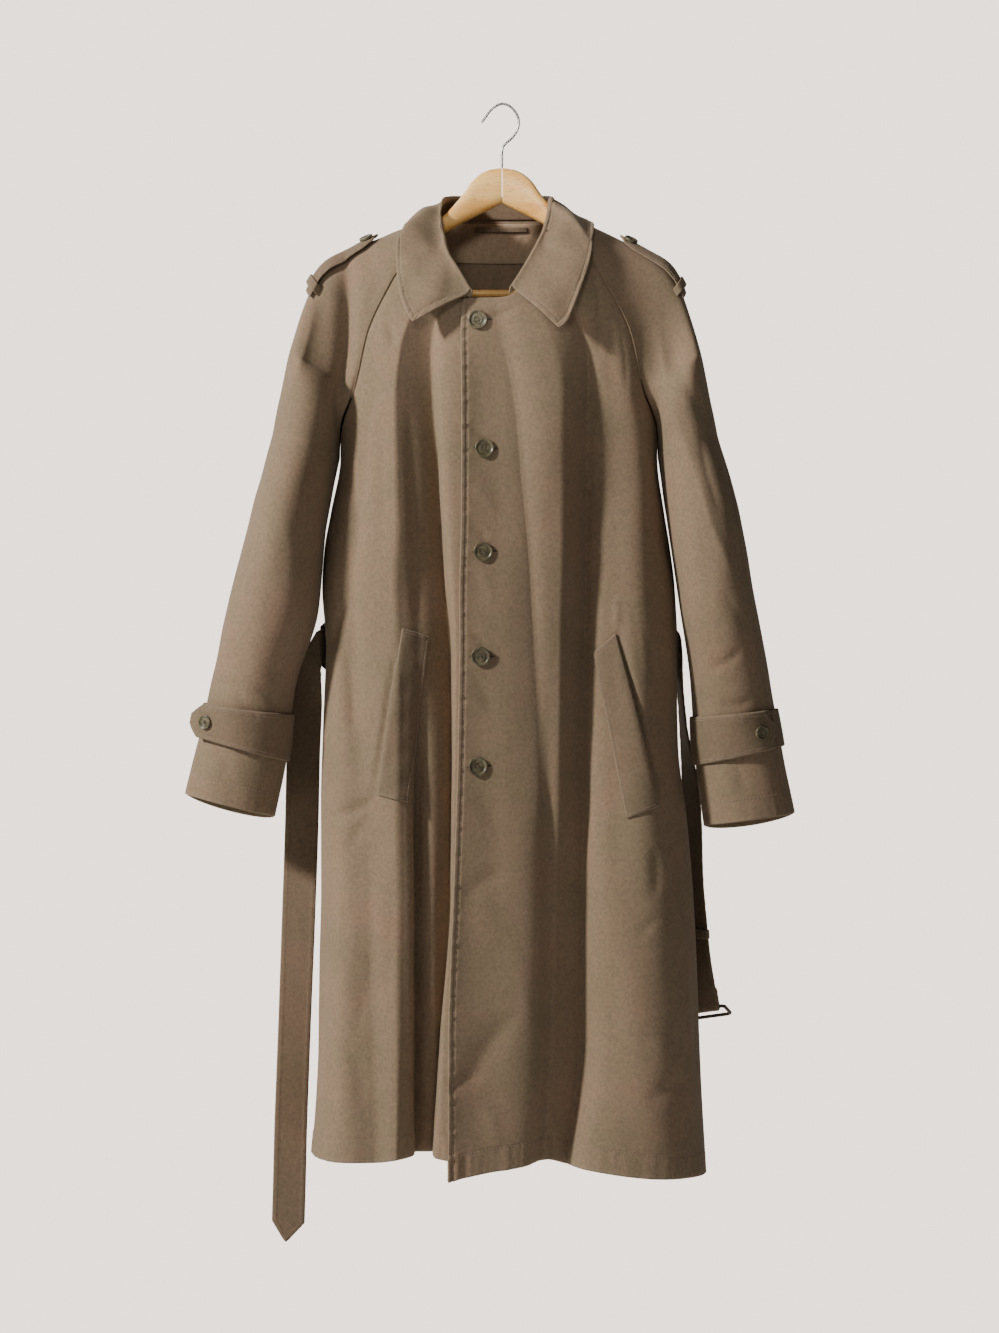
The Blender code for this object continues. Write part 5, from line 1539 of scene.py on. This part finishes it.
# ----------------------------------------------------- straps and welts
def strap(name, points, wall, node, out_from=None, toward=None,
          stitched=(),
          mat=None, soft=0.0, inset=0.0032):
    """A doubled strip of cloth: rows run along it, columns across."""
    cloth = Cloth(points, 1.0)
    k, j = cloth.p.shape[0] // 2, cloth.p.shape[1] // 2
    if out_from is not None:
        if np.dot(cloth.n[k, j], cloth.p[k, j] - out_from) < 0:
            cloth.out = -1.0
    elif toward is not None and np.dot(cloth.n[k, j], toward) < 0:
        cloth.out = -1.0
    cloth.renew()
    first, last, start, end = cloth.edge_distance()
    depth = np.zeros(first.shape)
    runs = []
    for border in stitched:
        d = (first, last, start, end)[border]
        depth += groove(d, inset, 0.0012, 0.00040)
        depth += pucker(cloth.t + cloth.s, d, 0.008, 0.00032, 40 + border)
    if soft:
        depth += soft * rumple(cloth.p, 0.06, (1, 1, 1), 6, 10)
    cloth.press(depth)
    for border in stitched:
        p, n = cloth.line(border, inset)
        d = along(p)
        ok = (d > inset) & (d[-1] - d > inset)
        if ok.sum() > 3:
            runs.append((p[ok] + n[ok] * (wall / 2 + 0.00005), n[ok]))
    ob = shell("cloth_" + name, cloth, wall, offset=0.0)
    # By default the darker copy of the cloth: painted shade.
    finish_piece(ob, mat or SHADED_STRAP_CLOTH, "gabardine", node)
    if runs:
        sew("sewing_" + name, runs, pitch=0.0034, length=0.0024)
    return cloth


def cloth_tree(cloth):
    rows, cols = cloth.p.shape[:2]
    idx = np.arange(rows * cols).reshape(rows, cols)
    quad = np.stack([idx[:-1, :-1], idx[:-1, 1:], idx[1:, 1:], idx[1:, :-1]],
                    -1).reshape(-1, 4)
    return BVHTree.FromPolygons([Vector(p) for p in cloth.p.reshape(-1, 3)],
                                quad.tolist())


def on_front(tree, x, z):
    """Where a line from the front meets the cloth, and its normal."""
    hit, normal, _, _ = tree.ray_cast(Vector((x, -0.5, z)),
                                      Vector((0, 1, 0)), 1.0)
    normal = np.array(normal)
    return np.array(hit), normal if normal[1] < 0 else -normal


def build_welts(trees):
    for name, corners, host in (("left", WELT_LEFT, "front_left"),
                                ("right", WELT_RIGHT, "front_right")):
        open_a, open_b, sewn_a, sewn_b = [np.array(c) * MM for c in corners]
        rows = []
        for t in spread((0, 0.05, 5), (0.05, 0.95, 56), (0.95, 1, 5)):
            row = []
            for s in spread((0, 0.16, 5), (0.16, 0.84, 10), (0.84, 1, 5)):
                q = ((open_a * (1 - t) + open_b * t) * (1 - s)
                     + (sewn_a * (1 - t) + sewn_b * t) * s)
                p, n = on_front(trees[host], q[0], q[1])
                gape = (1 - s) ** 1.6 * math.sin(math.pi * min(
                    max(t * 0.94 + 0.03, 0), 1))
                quilt = math.sin(9.5 * t * math.pi + s * 3.0) * 0.35 * MM
                n = unit(np.array([n[0] * 0.6, n[1], n[2] * 0.4]))
                row.append(p + n * (0.0016 + 0.0030 * gape
                                    + quilt * math.sin(math.pi * s)))
            rows.append(row)
        strap("pocket_welt_" + name, np.array(rows), DOUBLE,
              "pocket_welt_" + name, toward=np.array([0, -1.0, 0]),
              stitched=(1, 2, 3), inset=0.0028)


def build_epaulettes(sleeves):
    for name in ("left", "right"):
        cloth = sleeves[name]
        table = np.array(((0.86, 0.02, 4.6), (0.96, 0.20, 4.2),
                          (1.15, 0.24, 4.0), (1.45, 0.23, 4.6),
                          (1.75, 0.21, 6.2), (2.00, 0.20, 5.0),
                          (2.26, 0.19, 3.4)))
        rows = []
        for v in spread((0.86, 0.96, 8), (0.96, 2.26, 40)):
            half = np.interp(v, table[:, 0], table[:, 1])
            lift = float(curve(table[:, 0], table[:, 2], v)) + 0.6
            rows.append([cloth.at(0.93 + half * s, v, lift * MM)[0]
                         for s in np.linspace(-1, 1, 17)])
        strap("epaulette_" + name, np.array(rows), DOUBLE,
              "epaulette_" + name, toward=np.array([0, -0.3, 1.0]),
              stitched=(0, 1, 2))
        rows = []
        knots = np.array(((0.66, 1.2), (0.69, 4.8), (0.72, 8.0), (0.82, 8.6),
                          (0.93, 8.8), (1.04, 8.6), (1.14, 8.0),
                          (1.17, 4.8), (1.20, 1.2)))
        for k in np.linspace(0, len(knots) - 1, 49):
            w, lift = curve(range(len(knots)), knots, k)
            rows.append([cloth.at(w, v, lift * MM)[0]
                         for v in np.linspace(2.04, 2.16, 8)])
        strap("epaulette_loop_" + name, np.array(rows), 0.0014,
              "epaulette_loop_" + name, toward=np.array([0, -0.3, 1.0]))


def cuff_strap_point(name, cloth, t, s, off=0.0):
    """Point on a cuff strap: t halves of a turn from its start, s across."""
    mid, outside, inside, end, stand = CUFF_STRAPS[name]
    w = (0.54 + t) % 2.0
    half = outside + (inside - outside) * (1 + math.cos(math.pi * w)) / 2
    half *= min(1.0, 0.3 + 0.7 * (end - t) / 0.08)
    lift = 3.0 + 3.2 * float(smooth((t - 1.64) / 0.36))
    lift += stand * min(max((t - end + 0.3) / 0.3, 0), 1) ** 2
    return cloth.at(min(max(w, 0.02), 1.98), mid + half * s,
                    (lift + off) * MM)[0]


def build_cuff_straps(sleeves):
    """Each starts in front, goes round by the back and laps over itself."""
    for name in ("left", "right"):
        cloth = sleeves[name]
        end = CUFF_STRAPS[name][3]
        rows = np.array([[cuff_strap_point(name, cloth, t, s)
                          for s in np.linspace(-1, 1, 21)]
                         for t in spread((0.0, end - 0.08, 156),
                                         (end - 0.08, end, 14))])
        centre = cloth.at(0.5, 7.7)[0] * 0.5 + cloth.at(1.5, 7.7)[0] * 0.5
        strap("cuff_strap_" + name, rows, DOUBLE, "cuff_strap_" + name,
              out_from=centre, stitched=(0, 1), soft=0.0004,
              inset=0.004)


# ---------------------------------------------------------------- belt
def buckle_axes():
    """Bar the belt goes round: its middle, its way, the belt's way down and
    out, and the way the frame points."""
    rows = np.array(BELT_BUCKLE, float)[-1] * MM
    across = unit(rows[3:] - rows[:3])
    down = unit(np.array([0.03, -0.10, -1.0]))
    down = unit(down - across * np.dot(down, across))
    out = np.cross(across, down)
    mid = (rows[:3] + rows[3:]) / 2 - out * WRAP_R + down * 0.004
    frame = unit(np.array([0.05, 0.93, -0.36]))
    frame = unit(frame - across * np.dot(frame, across))
    return mid, across, down, out, frame


def build_belt():
    free = np.array(BELT_FREE, float) * MM
    buckle = np.array(BELT_BUCKLE, float) * MM
    a = smooth_run(free[:, :3], 22)[::-1]
    b = smooth_run(free[:, 3:], 22)[::-1]
    turns = np.radians(steps(BELT_TURNS[0], BELT_TURNS[1], 24))
    top = hull_point(turns, BELT_Z + BELT_W / 2, BELT_LIFT)
    low = hull_point(turns, BELT_Z - BELT_W / 2, BELT_LIFT)
    c = list(smooth_run(buckle[:, :3], 18))
    d = list(smooth_run(buckle[:, 3:], 18))
    mid, across, down, out, _ = buckle_axes()
    for turn, rise in ((40, 0), (90, 0), (140, 0), (180, 0), (180, 10),
                       (180, 22)):
        a0 = math.radians(turn)
        near = 0.0012 * min(rise / 10, 1)
        p = (mid + out * (math.cos(a0) * WRAP_R + near)
             + down * (math.sin(a0) * WRAP_R - rise * MM))
        c.append(p - across * BELT_W * 0.48)
        d.append(p + across * BELT_W * 0.48)
    left = np.array(list(a) + list(top) + c)
    right = np.array(list(b) + list(low) + d)
    # even steps along the belt
    mids = (left + right) / 2
    run = along(mids)
    count = int(run[-1] / 0.0036)
    at = np.concatenate([[0.0, 0.0012], np.linspace(0.0036, run[-1], count)])
    left = curve(run, left, at)
    right = curve(run, right, at)
    tip = np.array(BELT_FREE_TIP) * MM
    share = np.array(spread((-1, -0.7, 5), (-0.7, 0.7, 10), (0.7, 1, 5)))
    rows = []
    for p, q in zip(left, right):
        m, h = (p + q) / 2, (q - p) / 2
        rows.append([m + h * s for s in share])
    rows = np.array(rows)
    # the free end runs out to a point
    point_rows = []
    first = rows[0]
    for f in np.linspace(0.94, 0.0, 10)[::-1][:-1]:
        m = first[len(share) // 2] * f + tip * (1 - f)
        h = (first[-1] - first[0]) / 2
        point_rows.append([m + h * s * (0.06 + 0.94 * f) for s in share])
    rows = np.concatenate([np.array(point_rows), rows])
    lengths = along(rows[:, 10])
    wave = (0.0011 * rumple(np.stack([lengths * 0.5, lengths * 0.1,
                                      lengths], -1), 0.16, (1, 1, 1), 3, 8))
    cloth = Cloth(rows, 1.0)
    ends = smooth((lengths[-1] - lengths) / 0.12) * smooth(lengths / 0.02)
    rows = rows + cloth.n * (wave * ends)[:, None, None]
    cloth = strap("belt", rows, 0.0024, "belt",
                  out_from=np.array([0, 0, BELT_Z]), stitched=(0, 1),
                  mat=SHADED_STRAP_CLOTH, inset=0.0034)
    return cloth


def build_belt_loops():
    for name, angle in LOOP_TURNS:
        knots = np.array(((29, 1.8), (26.5, 4.6), (23.0, 8.2), (12, 9.0),
                          (0, 9.2), (-12, 9.0), (-23.0, 8.2), (-26.5, 4.6),
                          (-29, 1.8)))
        rows = []
        for k in np.linspace(0, 8, 49):
            dz, out = curve(range(9), knots, k)
            rows.append(hull_point(np.radians(angle + np.linspace(
                -3.5, 3.5, 9)), BELT_Z + dz * MM, out * MM))
        strap("belt_loop_" + name, np.array(rows), 0.0014,
              "belt_loop_" + name, out_from=np.array([0, 0, BELT_Z]))


def build_keeper():
    """Small loop round the belt above the buckle."""
    buckle = np.array(BELT_BUCKLE, float) * MM
    a = smooth_run(buckle[:, :3], 60)
    b = smooth_run(buckle[:, 3:], 60)
    k = min(range(len(a)), key=lambda i: abs(a[i][2] - KEEPER_Z))
    mid = (a[k] + b[k]) / 2
    across = unit(b[k] - a[k])
    down = unit((a[k + 1] + b[k + 1]) / 2 - mid)
    out = np.cross(across, down)
    rows = []
    for turn in np.linspace(0, 360, 73):
        t = math.radians(turn)
        x = math.copysign(abs(math.cos(t)) ** 0.35, math.cos(t))
        y = math.copysign(abs(math.sin(t)) ** 0.8, math.sin(t))
        p = mid + across * x * (BELT_W / 2 + 0.0022) + out * y * 0.0036
        rows.append([p + down * LOOP_W / 2 * s for s in
                     np.linspace(-1, 1, 7)])
    strap("belt_keeper", np.array(rows), 0.0014, "belt_keeper",
          out_from=mid)


# ------------------------------------------------------------ hard parts
def facing(point, out, up=(0, 0, 1)):
    """Matrix at a point with its Z along out."""
    z = Vector(out).normalized()
    x = Vector(up).cross(z).normalized()
    y = z.cross(x)
    m = Matrix((x, y, z)).transposed().to_4x4()
    m.translation = Vector(point)
    return m


def only(ob):
    bpy.ops.object.select_all(action="DESELECT")
    ob.select_set(True)
    bpy.context.view_layer.objects.active = ob


def button_pattern(radius):
    """One four-hole button with a raised rim, round the origin."""
    bpy.ops.object.select_all(action="DESELECT")
    t = BUTTON_T
    bpy.ops.mesh.primitive_cylinder_add(vertices=64, radius=radius,
                                        depth=t, location=(0, 0, t / 2))
    ob = bpy.context.object
    bpy.ops.object.mode_set(mode="EDIT")
    bpy.ops.mesh.select_all(action="DESELECT")
    bm = bmesh.from_edit_mesh(ob.data)
    bm.faces.ensure_lookup_table()
    for f in bm.faces:
        f.select = f.normal.z > 0.9
    bmesh.update_edit_mesh(ob.data)
    # rim, slope into the dish, a fine ring and the middle
    for thick, deep in ((radius * 0.16, 0.0), (radius * 0.10, -t * 0.30),
                        (radius * 0.22, -t * 0.06), (radius * 0.05, t * 0.07),
                        (radius * 0.06, 0.0), (radius * 0.05, -t * 0.07)):
        bpy.ops.mesh.inset(thickness=thick, depth=deep)
    bpy.ops.mesh.select_all(action="DESELECT")
    bm = bmesh.from_edit_mesh(ob.data)
    for f in bm.faces:
        f.select = f.normal.z < -0.9
    bmesh.update_edit_mesh(ob.data)
    bpy.ops.mesh.inset(thickness=radius * 0.2, depth=0)
    bpy.ops.object.mode_set(mode="OBJECT")
    bevel = ob.modifiers.new("soft rims", "BEVEL")
    bevel.width = t * 0.16
    bevel.segments = 3
    bevel.limit_method = "ANGLE"
    bevel.angle_limit = math.radians(35)
    bpy.ops.object.modifier_apply(modifier=bevel.name)
    cutters = []
    for k in range(4):
        a = math.radians(45 + 90 * k)
        bpy.ops.object.select_all(action="DESELECT")
        bpy.ops.mesh.primitive_cylinder_add(
            vertices=16, radius=radius * 0.085, depth=t * 4,
            location=(math.cos(a) * radius * 0.19,
                      math.sin(a) * radius * 0.19, 0))
        cutters.append(bpy.context.object)
    for cutter in cutters:
        only(ob)
        cut = ob.modifiers.new("hole", "BOOLEAN")
        cut.operation = "DIFFERENCE"
        cut.solver = "EXACT"
        cut.object = cutter
        bpy.ops.object.modifier_apply(modifier=cut.name)
    for cutter in cutters:
        bpy.data.objects.remove(cutter)
    only(ob)
    bpy.ops.object.shade_smooth_by_angle(angle=math.radians(32))
    return ob


def place_copy(pattern, name, matrix):
    mesh = pattern.data.copy()
    mesh.transform(matrix)
    ob = bpy.data.objects.new(name, mesh)
    bpy.context.scene.collection.objects.link(ob)
    return ob


def button_thread(name, matrix, radius):
    """Two parallel pairs of threads through the holes."""
    r = radius * 0.19 * math.sqrt(0.5)
    z = BUTTON_T * 0.62
    starts, ends = [], []
    for side in (-1, 1):
        for k in range(4):
            off = (k - 1.5) * 0.00022
            starts.append((-r * 1.15, side * r + off, z))
            ends.append((r * 1.15, side * r + off, z))
    m = np.array(matrix)[:3, :3]
    o = np.array(matrix)[:3, 3]
    starts = np.array(starts) @ m.T + o
    ends = np.array(ends) @ m.T + o
    normals = np.tile(m[:, 2], (len(starts), 1))
    ob = stitch_mesh(name, starts, ends, normals, HOLE_THREAD, 0.85)
    return finish_piece(ob, HOLE_THREAD, "gabardine")


def buttonhole(name, tree, x, z, length, tilt=0.0):
    """Oval of close threads round a slit, on the front's cloth; the slit is a
    near-black strip, painted shadow.
    """
    starts, ends, normals = [], [], []
    slit_a, slit_b, slit_n = [], [], []
    half, lip = length / 2, 0.0014
    for k in range(int(length / 0.00055)):
        f = -half + (k + 0.5) * 0.00055
        for side in (-1, 1):
            edge = min(1.0, (half - abs(f)) / 0.0015)
            for store, away in ((starts, 0.00025),
                                (ends, lip * (0.4 + 0.6 * edge))):
                px = x + f
                pz = z + f * tilt + side * away
                p, n = on_front(tree, px, pz)
                store.append(p + n * 0.0001)
            normals.append(n)
    # Painted shadow of the slit: short near-black strips end to end.
    for k in range(int(length / 0.003)):
        f = -half + 0.001 + k * 0.003
        p, n = on_front(tree, x + f, z + f * tilt)
        q, _ = on_front(tree, x + f + 0.0032, z + (f + 0.0032) * tilt)
        slit_a.append(p + n * 0.00002)
        slit_b.append(q + n * 0.00002)
        slit_n.append(n)
    ob = stitch_mesh(name, starts, ends, normals, HOLE_THREAD, 0.9)
    finish_piece(ob, HOLE_THREAD, "gabardine")
    ob = stitch_mesh(name + "_slit", slit_a, slit_b, slit_n, SLIT_SHADOW, 1.3)
    finish_piece(ob, SLIT_SHADOW, "gabardine")


def build_buttons(trees, sleeves):
    big = button_pattern(BUTTON_R)
    small = button_pattern(CUFF_BUTTON_R)
    turns = (12, -20, 35, 8, 24)
    tilts = (0, 0, 0, 8, 0)
    tree = trees["front_left"]
    for k, (x, z) in enumerate(BUTTONS):
        x, z = x * MM, z * MM
        name = "button_%d" % (k + 1)
        near = [on_front(tree, x + dx, z + dz) for dx in (-0.006, 0, 0.006)
                for dz in (-0.006, 0, 0.006)]
        n = unit(sum(b for _, b in near))
        p = near[4][0]
        off = 0.0016 + 0.0016 * (tilts[k] > 0)
        m = (facing(p + n * off, n)
             @ Matrix.Rotation(math.radians(tilts[k]), 4, "X")
             @ Matrix.Rotation(math.radians(turns[k]), 4, "Z"))
        ob = place_copy(big, "turned_" + name, m)
        finish_piece(ob, HORN, "button_horn", name)
        button_thread("sewing_" + name, m, BUTTON_R)
        buttonhole("buttonhole_%d" % (k + 1), tree, x + 0.0015, z, 0.030,
                   (0.03, -0.02, 0.04, 0.0, 0.06)[k])
    for name in ("left", "right"):
        cloth = sleeves[name]
        at = CUFF_STRAPS[name][3] - 0.13
        p = cuff_strap_point(name, cloth, at, 0)
        n = unit(np.cross(cuff_strap_point(name, cloth, at + 0.03, 0)
                          - cuff_strap_point(name, cloth, at - 0.03, 0),
                          cuff_strap_point(name, cloth, at, 0.2)
                          - cuff_strap_point(name, cloth, at, -0.2)))
        if n @ (cuff_strap_point(name, cloth, at, 0, 1.0) - p) < 0:
            n = -n
        for kind, (p, n) in (("cuff", (p + n * 0.0022, n)),
                             ("epaulette", cloth.at(0.88, 1.06, 0.0074))):
            m = facing(p, n) @ Matrix.Rotation(0.5, 4, "Z")
            node = "%s_button_%s" % (kind, name)
            ob = place_copy(small, "turned_" + node, m)
            finish_piece(ob, HORN, "button_horn", node)
            button_thread("sewing_" + node, m, CUFF_BUTTON_R)
    for ob in (big, small):
        bpy.data.objects.remove(ob)


def bent_wire(name, points, radius, mat, slot, node, cyclic=False):
    """Round wire through the points, made a mesh."""
    data = bpy.data.curves.new(name, "CURVE")
    data.dimensions = "3D"
    line = data.splines.new("POLY")
    line.points.add(len(points) - 1)
    for p, q in zip(line.points, points):
        p.co = (q[0], q[1], q[2], 1)
    line.use_cyclic_u = cyclic
    line.use_smooth = True
    data.bevel_depth = radius
    data.bevel_resolution = 6
    data.use_fill_caps = not cyclic
    ob = bpy.data.objects.new(name, data)
    bpy.context.scene.collection.objects.link(ob)
    only(ob)
    bpy.ops.object.convert(target="MESH")
    ob = bpy.context.object
    ob.name = name
    bpy.ops.object.shade_smooth_by_angle(angle=math.radians(50))
    return finish_piece(ob, mat, slot, node)


def build_buckle():
    mid, across, _, _, down = buckle_axes()
    r = 0.006
    ring = []
    for sx, sy, first in ((1, 0, 90), (1, 1, 0), (-1, 1, -90),
                          (-1, 0, -180)):
        corner = (mid + across * sx * (BUCKLE_W / 2 - r)
                  + down * (r + sy * (BUCKLE_H - 2 * r)))
        for t in steps(0, 90, 8):
            a = math.radians(first - t)
            ring.append(corner + across * r * math.cos(a)
                        - down * r * math.sin(a))
    bent_wire("covered_buckle", ring, BUCKLE_WIRE_R, LEATHER,
              "buckle_cover", "buckle_frame", cyclic=True)


def hanger_arm(name, sign):
    """Arm of the hanger, drawn out ring by ring from a circle."""
    table = np.array(ARM, float) * MM
    count = 28
    bpy.ops.object.select_all(action="DESELECT")
    bpy.ops.mesh.primitive_circle_add(vertices=count, radius=0.01,
                                      fill_type="NOTHING",
                                      location=(0, 0, 0))
    ob = bpy.context.object
    ob.name = "wood_" + name
    stations = np.concatenate([[0], np.linspace(0.15, len(table) - 1, 34)])
    bpy.ops.object.mode_set(mode="EDIT")
    bpy.ops.mesh.select_all(action="SELECT")
    for k, t in enumerate(stations):
        if k:
            bpy.ops.mesh.extrude_edges_move(
                TRANSFORM_OT_translate={"value": (0.004 * sign, 0, 0)})
        x, top, low, y, half = curve(range(len(table)), table, t)
        bm = bmesh.from_edit_mesh(ob.data)
        ring = [v for v in bm.verts if v.select]
        centre = sum((v.co for v in ring), Vector()) / len(ring)
        if k == 0:
            turns = {v: math.atan2(v.co.y, v.co.x) for v in ring}
        else:
            turns = {v: math.atan2(v.co.z - centre.z, v.co.y - centre.y)
                     for v in ring}
        if k:
            # keep the ring's own order: take the turn stored before
            turns = {}
            for v in ring:
                for e in v.link_edges:
                    w = e.other_vert(v)
                    if not w.select:
                        turns[v] = before[tuple(w.co)]
        before = {}
        for v in ring:
            a = turns[v]
            c, s = math.cos(a), math.sin(a)
            v.co = Vector((x * sign,
                           y + half * math.copysign(abs(c) ** 0.6, c),
                           (top + low) / 2 + (top - low) / 2
                           * math.copysign(abs(s) ** 0.8, s)))
            before[tuple(v.co)] = a
        bmesh.update_edit_mesh(ob.data)
    bpy.ops.mesh.select_all(action="SELECT")
    bpy.ops.mesh.fill_holes(sides=0)
    bpy.ops.mesh.normals_make_consistent(inside=False)
    bpy.ops.object.mode_set(mode="OBJECT")
    bevel = ob.modifiers.new("eased ends", "BEVEL")
    bevel.width = 0.0016
    bevel.segments = 3
    bevel.limit_method = "ANGLE"
    bevel.angle_limit = math.radians(55)
    bpy.ops.object.modifier_apply(modifier=bevel.name)
    bpy.ops.object.shade_smooth_by_angle(angle=math.radians(40))
    return finish_piece(ob, WOOD, "beech", name)


def build_hanger():
    for name, sign in (("hanger_arm_left", 1), ("hanger_arm_right", -1)):
        hanger_arm(name, sign)
    bpy.ops.object.select_all(action="DESELECT")
    bpy.ops.mesh.primitive_cylinder_add(
        vertices=48, radius=BAR_R, depth=0.332, location=(0, BAR_Y, BAR_Z),
        rotation=(0, math.pi / 2, 0))
    bar = bpy.context.object
    bar.name = "wood_hanger_bar"
    bpy.ops.object.transform_apply(location=True, rotation=True, scale=True)
    bevel = bar.modifiers.new("eased ends", "BEVEL")
    bevel.width, bevel.segments = 0.0008, 3
    bevel.limit_method = "ANGLE"
    bpy.ops.object.modifier_apply(modifier=bevel.name)
    bpy.ops.object.shade_smooth_by_angle(angle=math.radians(40))
    finish_piece(bar, WOOD, "beech", "hanger_bar")
    route = [(x * MM, 0.0, z * MM) for x, z in HOOK]
    bent_wire("bent_hook", smooth_run(route, 120), HOOK_R, STEEL,
              "steel_wire", "hanger_hook")


# ------------------------------------------------------ camera and light
CAMERA_AT = (-0.003, -4.2, -0.685)
LENS, SENSOR = 92.97, 36.0
WARM = (1.0, 0.955, 0.90)
# name, size, power, place, target, colour
LAMPS = (("key", 0.4, 255, (-3.08, -1.8, 1.25), (0, 0, -0.5), WARM),
         ("fill", 3.0, 8, (2.6, -3.4, 0.2), (0, 0, -0.7), (0.98, 0.98, 1.0)),
         ("rear", 2.5, 60, (-1.8, 3.4, 1.6), (0, 0, -0.7), (1.0, 0.97, 0.94)))
NECK_POWER, NECK_SIZE, NECK_ANGLE = 75, 0.25, 15
NECK_AT, NECK_TARGET = (-0.25, -1.5, 0.25), (0, 0.03, -0.16)
ROOM_COLOUR, ROOM_STRENGTH = (0.93, 0.91, 0.885, 1.0), 0.10
SEEN_COLOUR, SEEN_STRENGTH = (0.98, 0.87, 0.78, 1.0), 2.6
FLOOR_Z = -1.75
FLOOR_COLOUR = (0.80, 0.775, 0.745, 1.0)


def place_lamp(light, place, target):
    lamp = bpy.data.objects.new(light.name, light)
    lamp.location = place
    way = Vector(target) - Vector(place)
    lamp.rotation_euler = way.to_track_quat("-Z", "Y").to_euler()
    bpy.context.scene.collection.objects.link(lamp)


def build_studio():
    scene = bpy.context.scene
    cam = bpy.data.cameras.new("camera")
    cam.sensor_fit, cam.sensor_height = "VERTICAL", SENSOR
    cam.sensor_width = SENSOR
    cam.lens = LENS
    ob = bpy.data.objects.new("camera", cam)
    ob.location = CAMERA_AT
    ob.rotation_euler = (math.radians(90), 0, 0)
    scene.collection.objects.link(ob)
    scene.camera = ob
    for name, size, power, place, target, colour in LAMPS:
        light = bpy.data.lights.new(name, "AREA")
        light.shape, light.size, light.energy = "DISK", size, power
        light.color = colour
        place_lamp(light, place, target)
    spot = bpy.data.lights.new("neck", "SPOT")
    spot.energy, spot.spot_blend = NECK_POWER, 1.0
    spot.spot_size = math.radians(NECK_ANGLE)
    spot.shadow_soft_size, spot.color = NECK_SIZE, WARM
    place_lamp(spot, NECK_AT, NECK_TARGET)
    world = bpy.data.worlds.new("pale room")
    scene.world = world
    world.use_nodes = True
    nodes, links = world.node_tree.nodes, world.node_tree.links
    back = nodes["Background"]
    back.inputs["Color"].default_value = ROOM_COLOUR
    back.inputs["Strength"].default_value = ROOM_STRENGTH
    seen = nodes.new("ShaderNodeBackground")
    seen.inputs["Color"].default_value = SEEN_COLOUR
    seen.inputs["Strength"].default_value = SEEN_STRENGTH
    path = nodes.new("ShaderNodeLightPath")
    mix = nodes.new("ShaderNodeMixShader")
    links.new(path.outputs["Is Camera Ray"], mix.inputs["Fac"])
    links.new(back.outputs["Background"], mix.inputs[1])
    links.new(seen.outputs["Background"], mix.inputs[2])
    links.new(mix.outputs["Shader"], nodes["World Output"].inputs["Surface"])
    corners = ((-4, -6), (4, -6), (4, 1.2), (-4, 1.2))
    floor = mesh_object("floor", [(x, y, FLOOR_Z) for x, y in corners],
                        [(0, 1, 2, 3)])
    mat, nodes, links, shader = new_material("pale_floor")
    shader.inputs["Base Color"].default_value = FLOOR_COLOUR
    shader.inputs["Roughness"].default_value = 0.9
    floor.data.materials.append(mat)


build_studio()
panels = build_body()
arms = build_sleeves()
build_collar()
build_facing()
front_trees = {k: cloth_tree(panels[k]) for k in ("front_left",
                                                  "front_right")}
build_welts(front_trees)
build_epaulettes(arms)
build_cuff_straps(arms)
build_belt()
build_belt_loops()
build_keeper()
build_buttons(front_trees, arms)
build_buckle()
build_hanger()
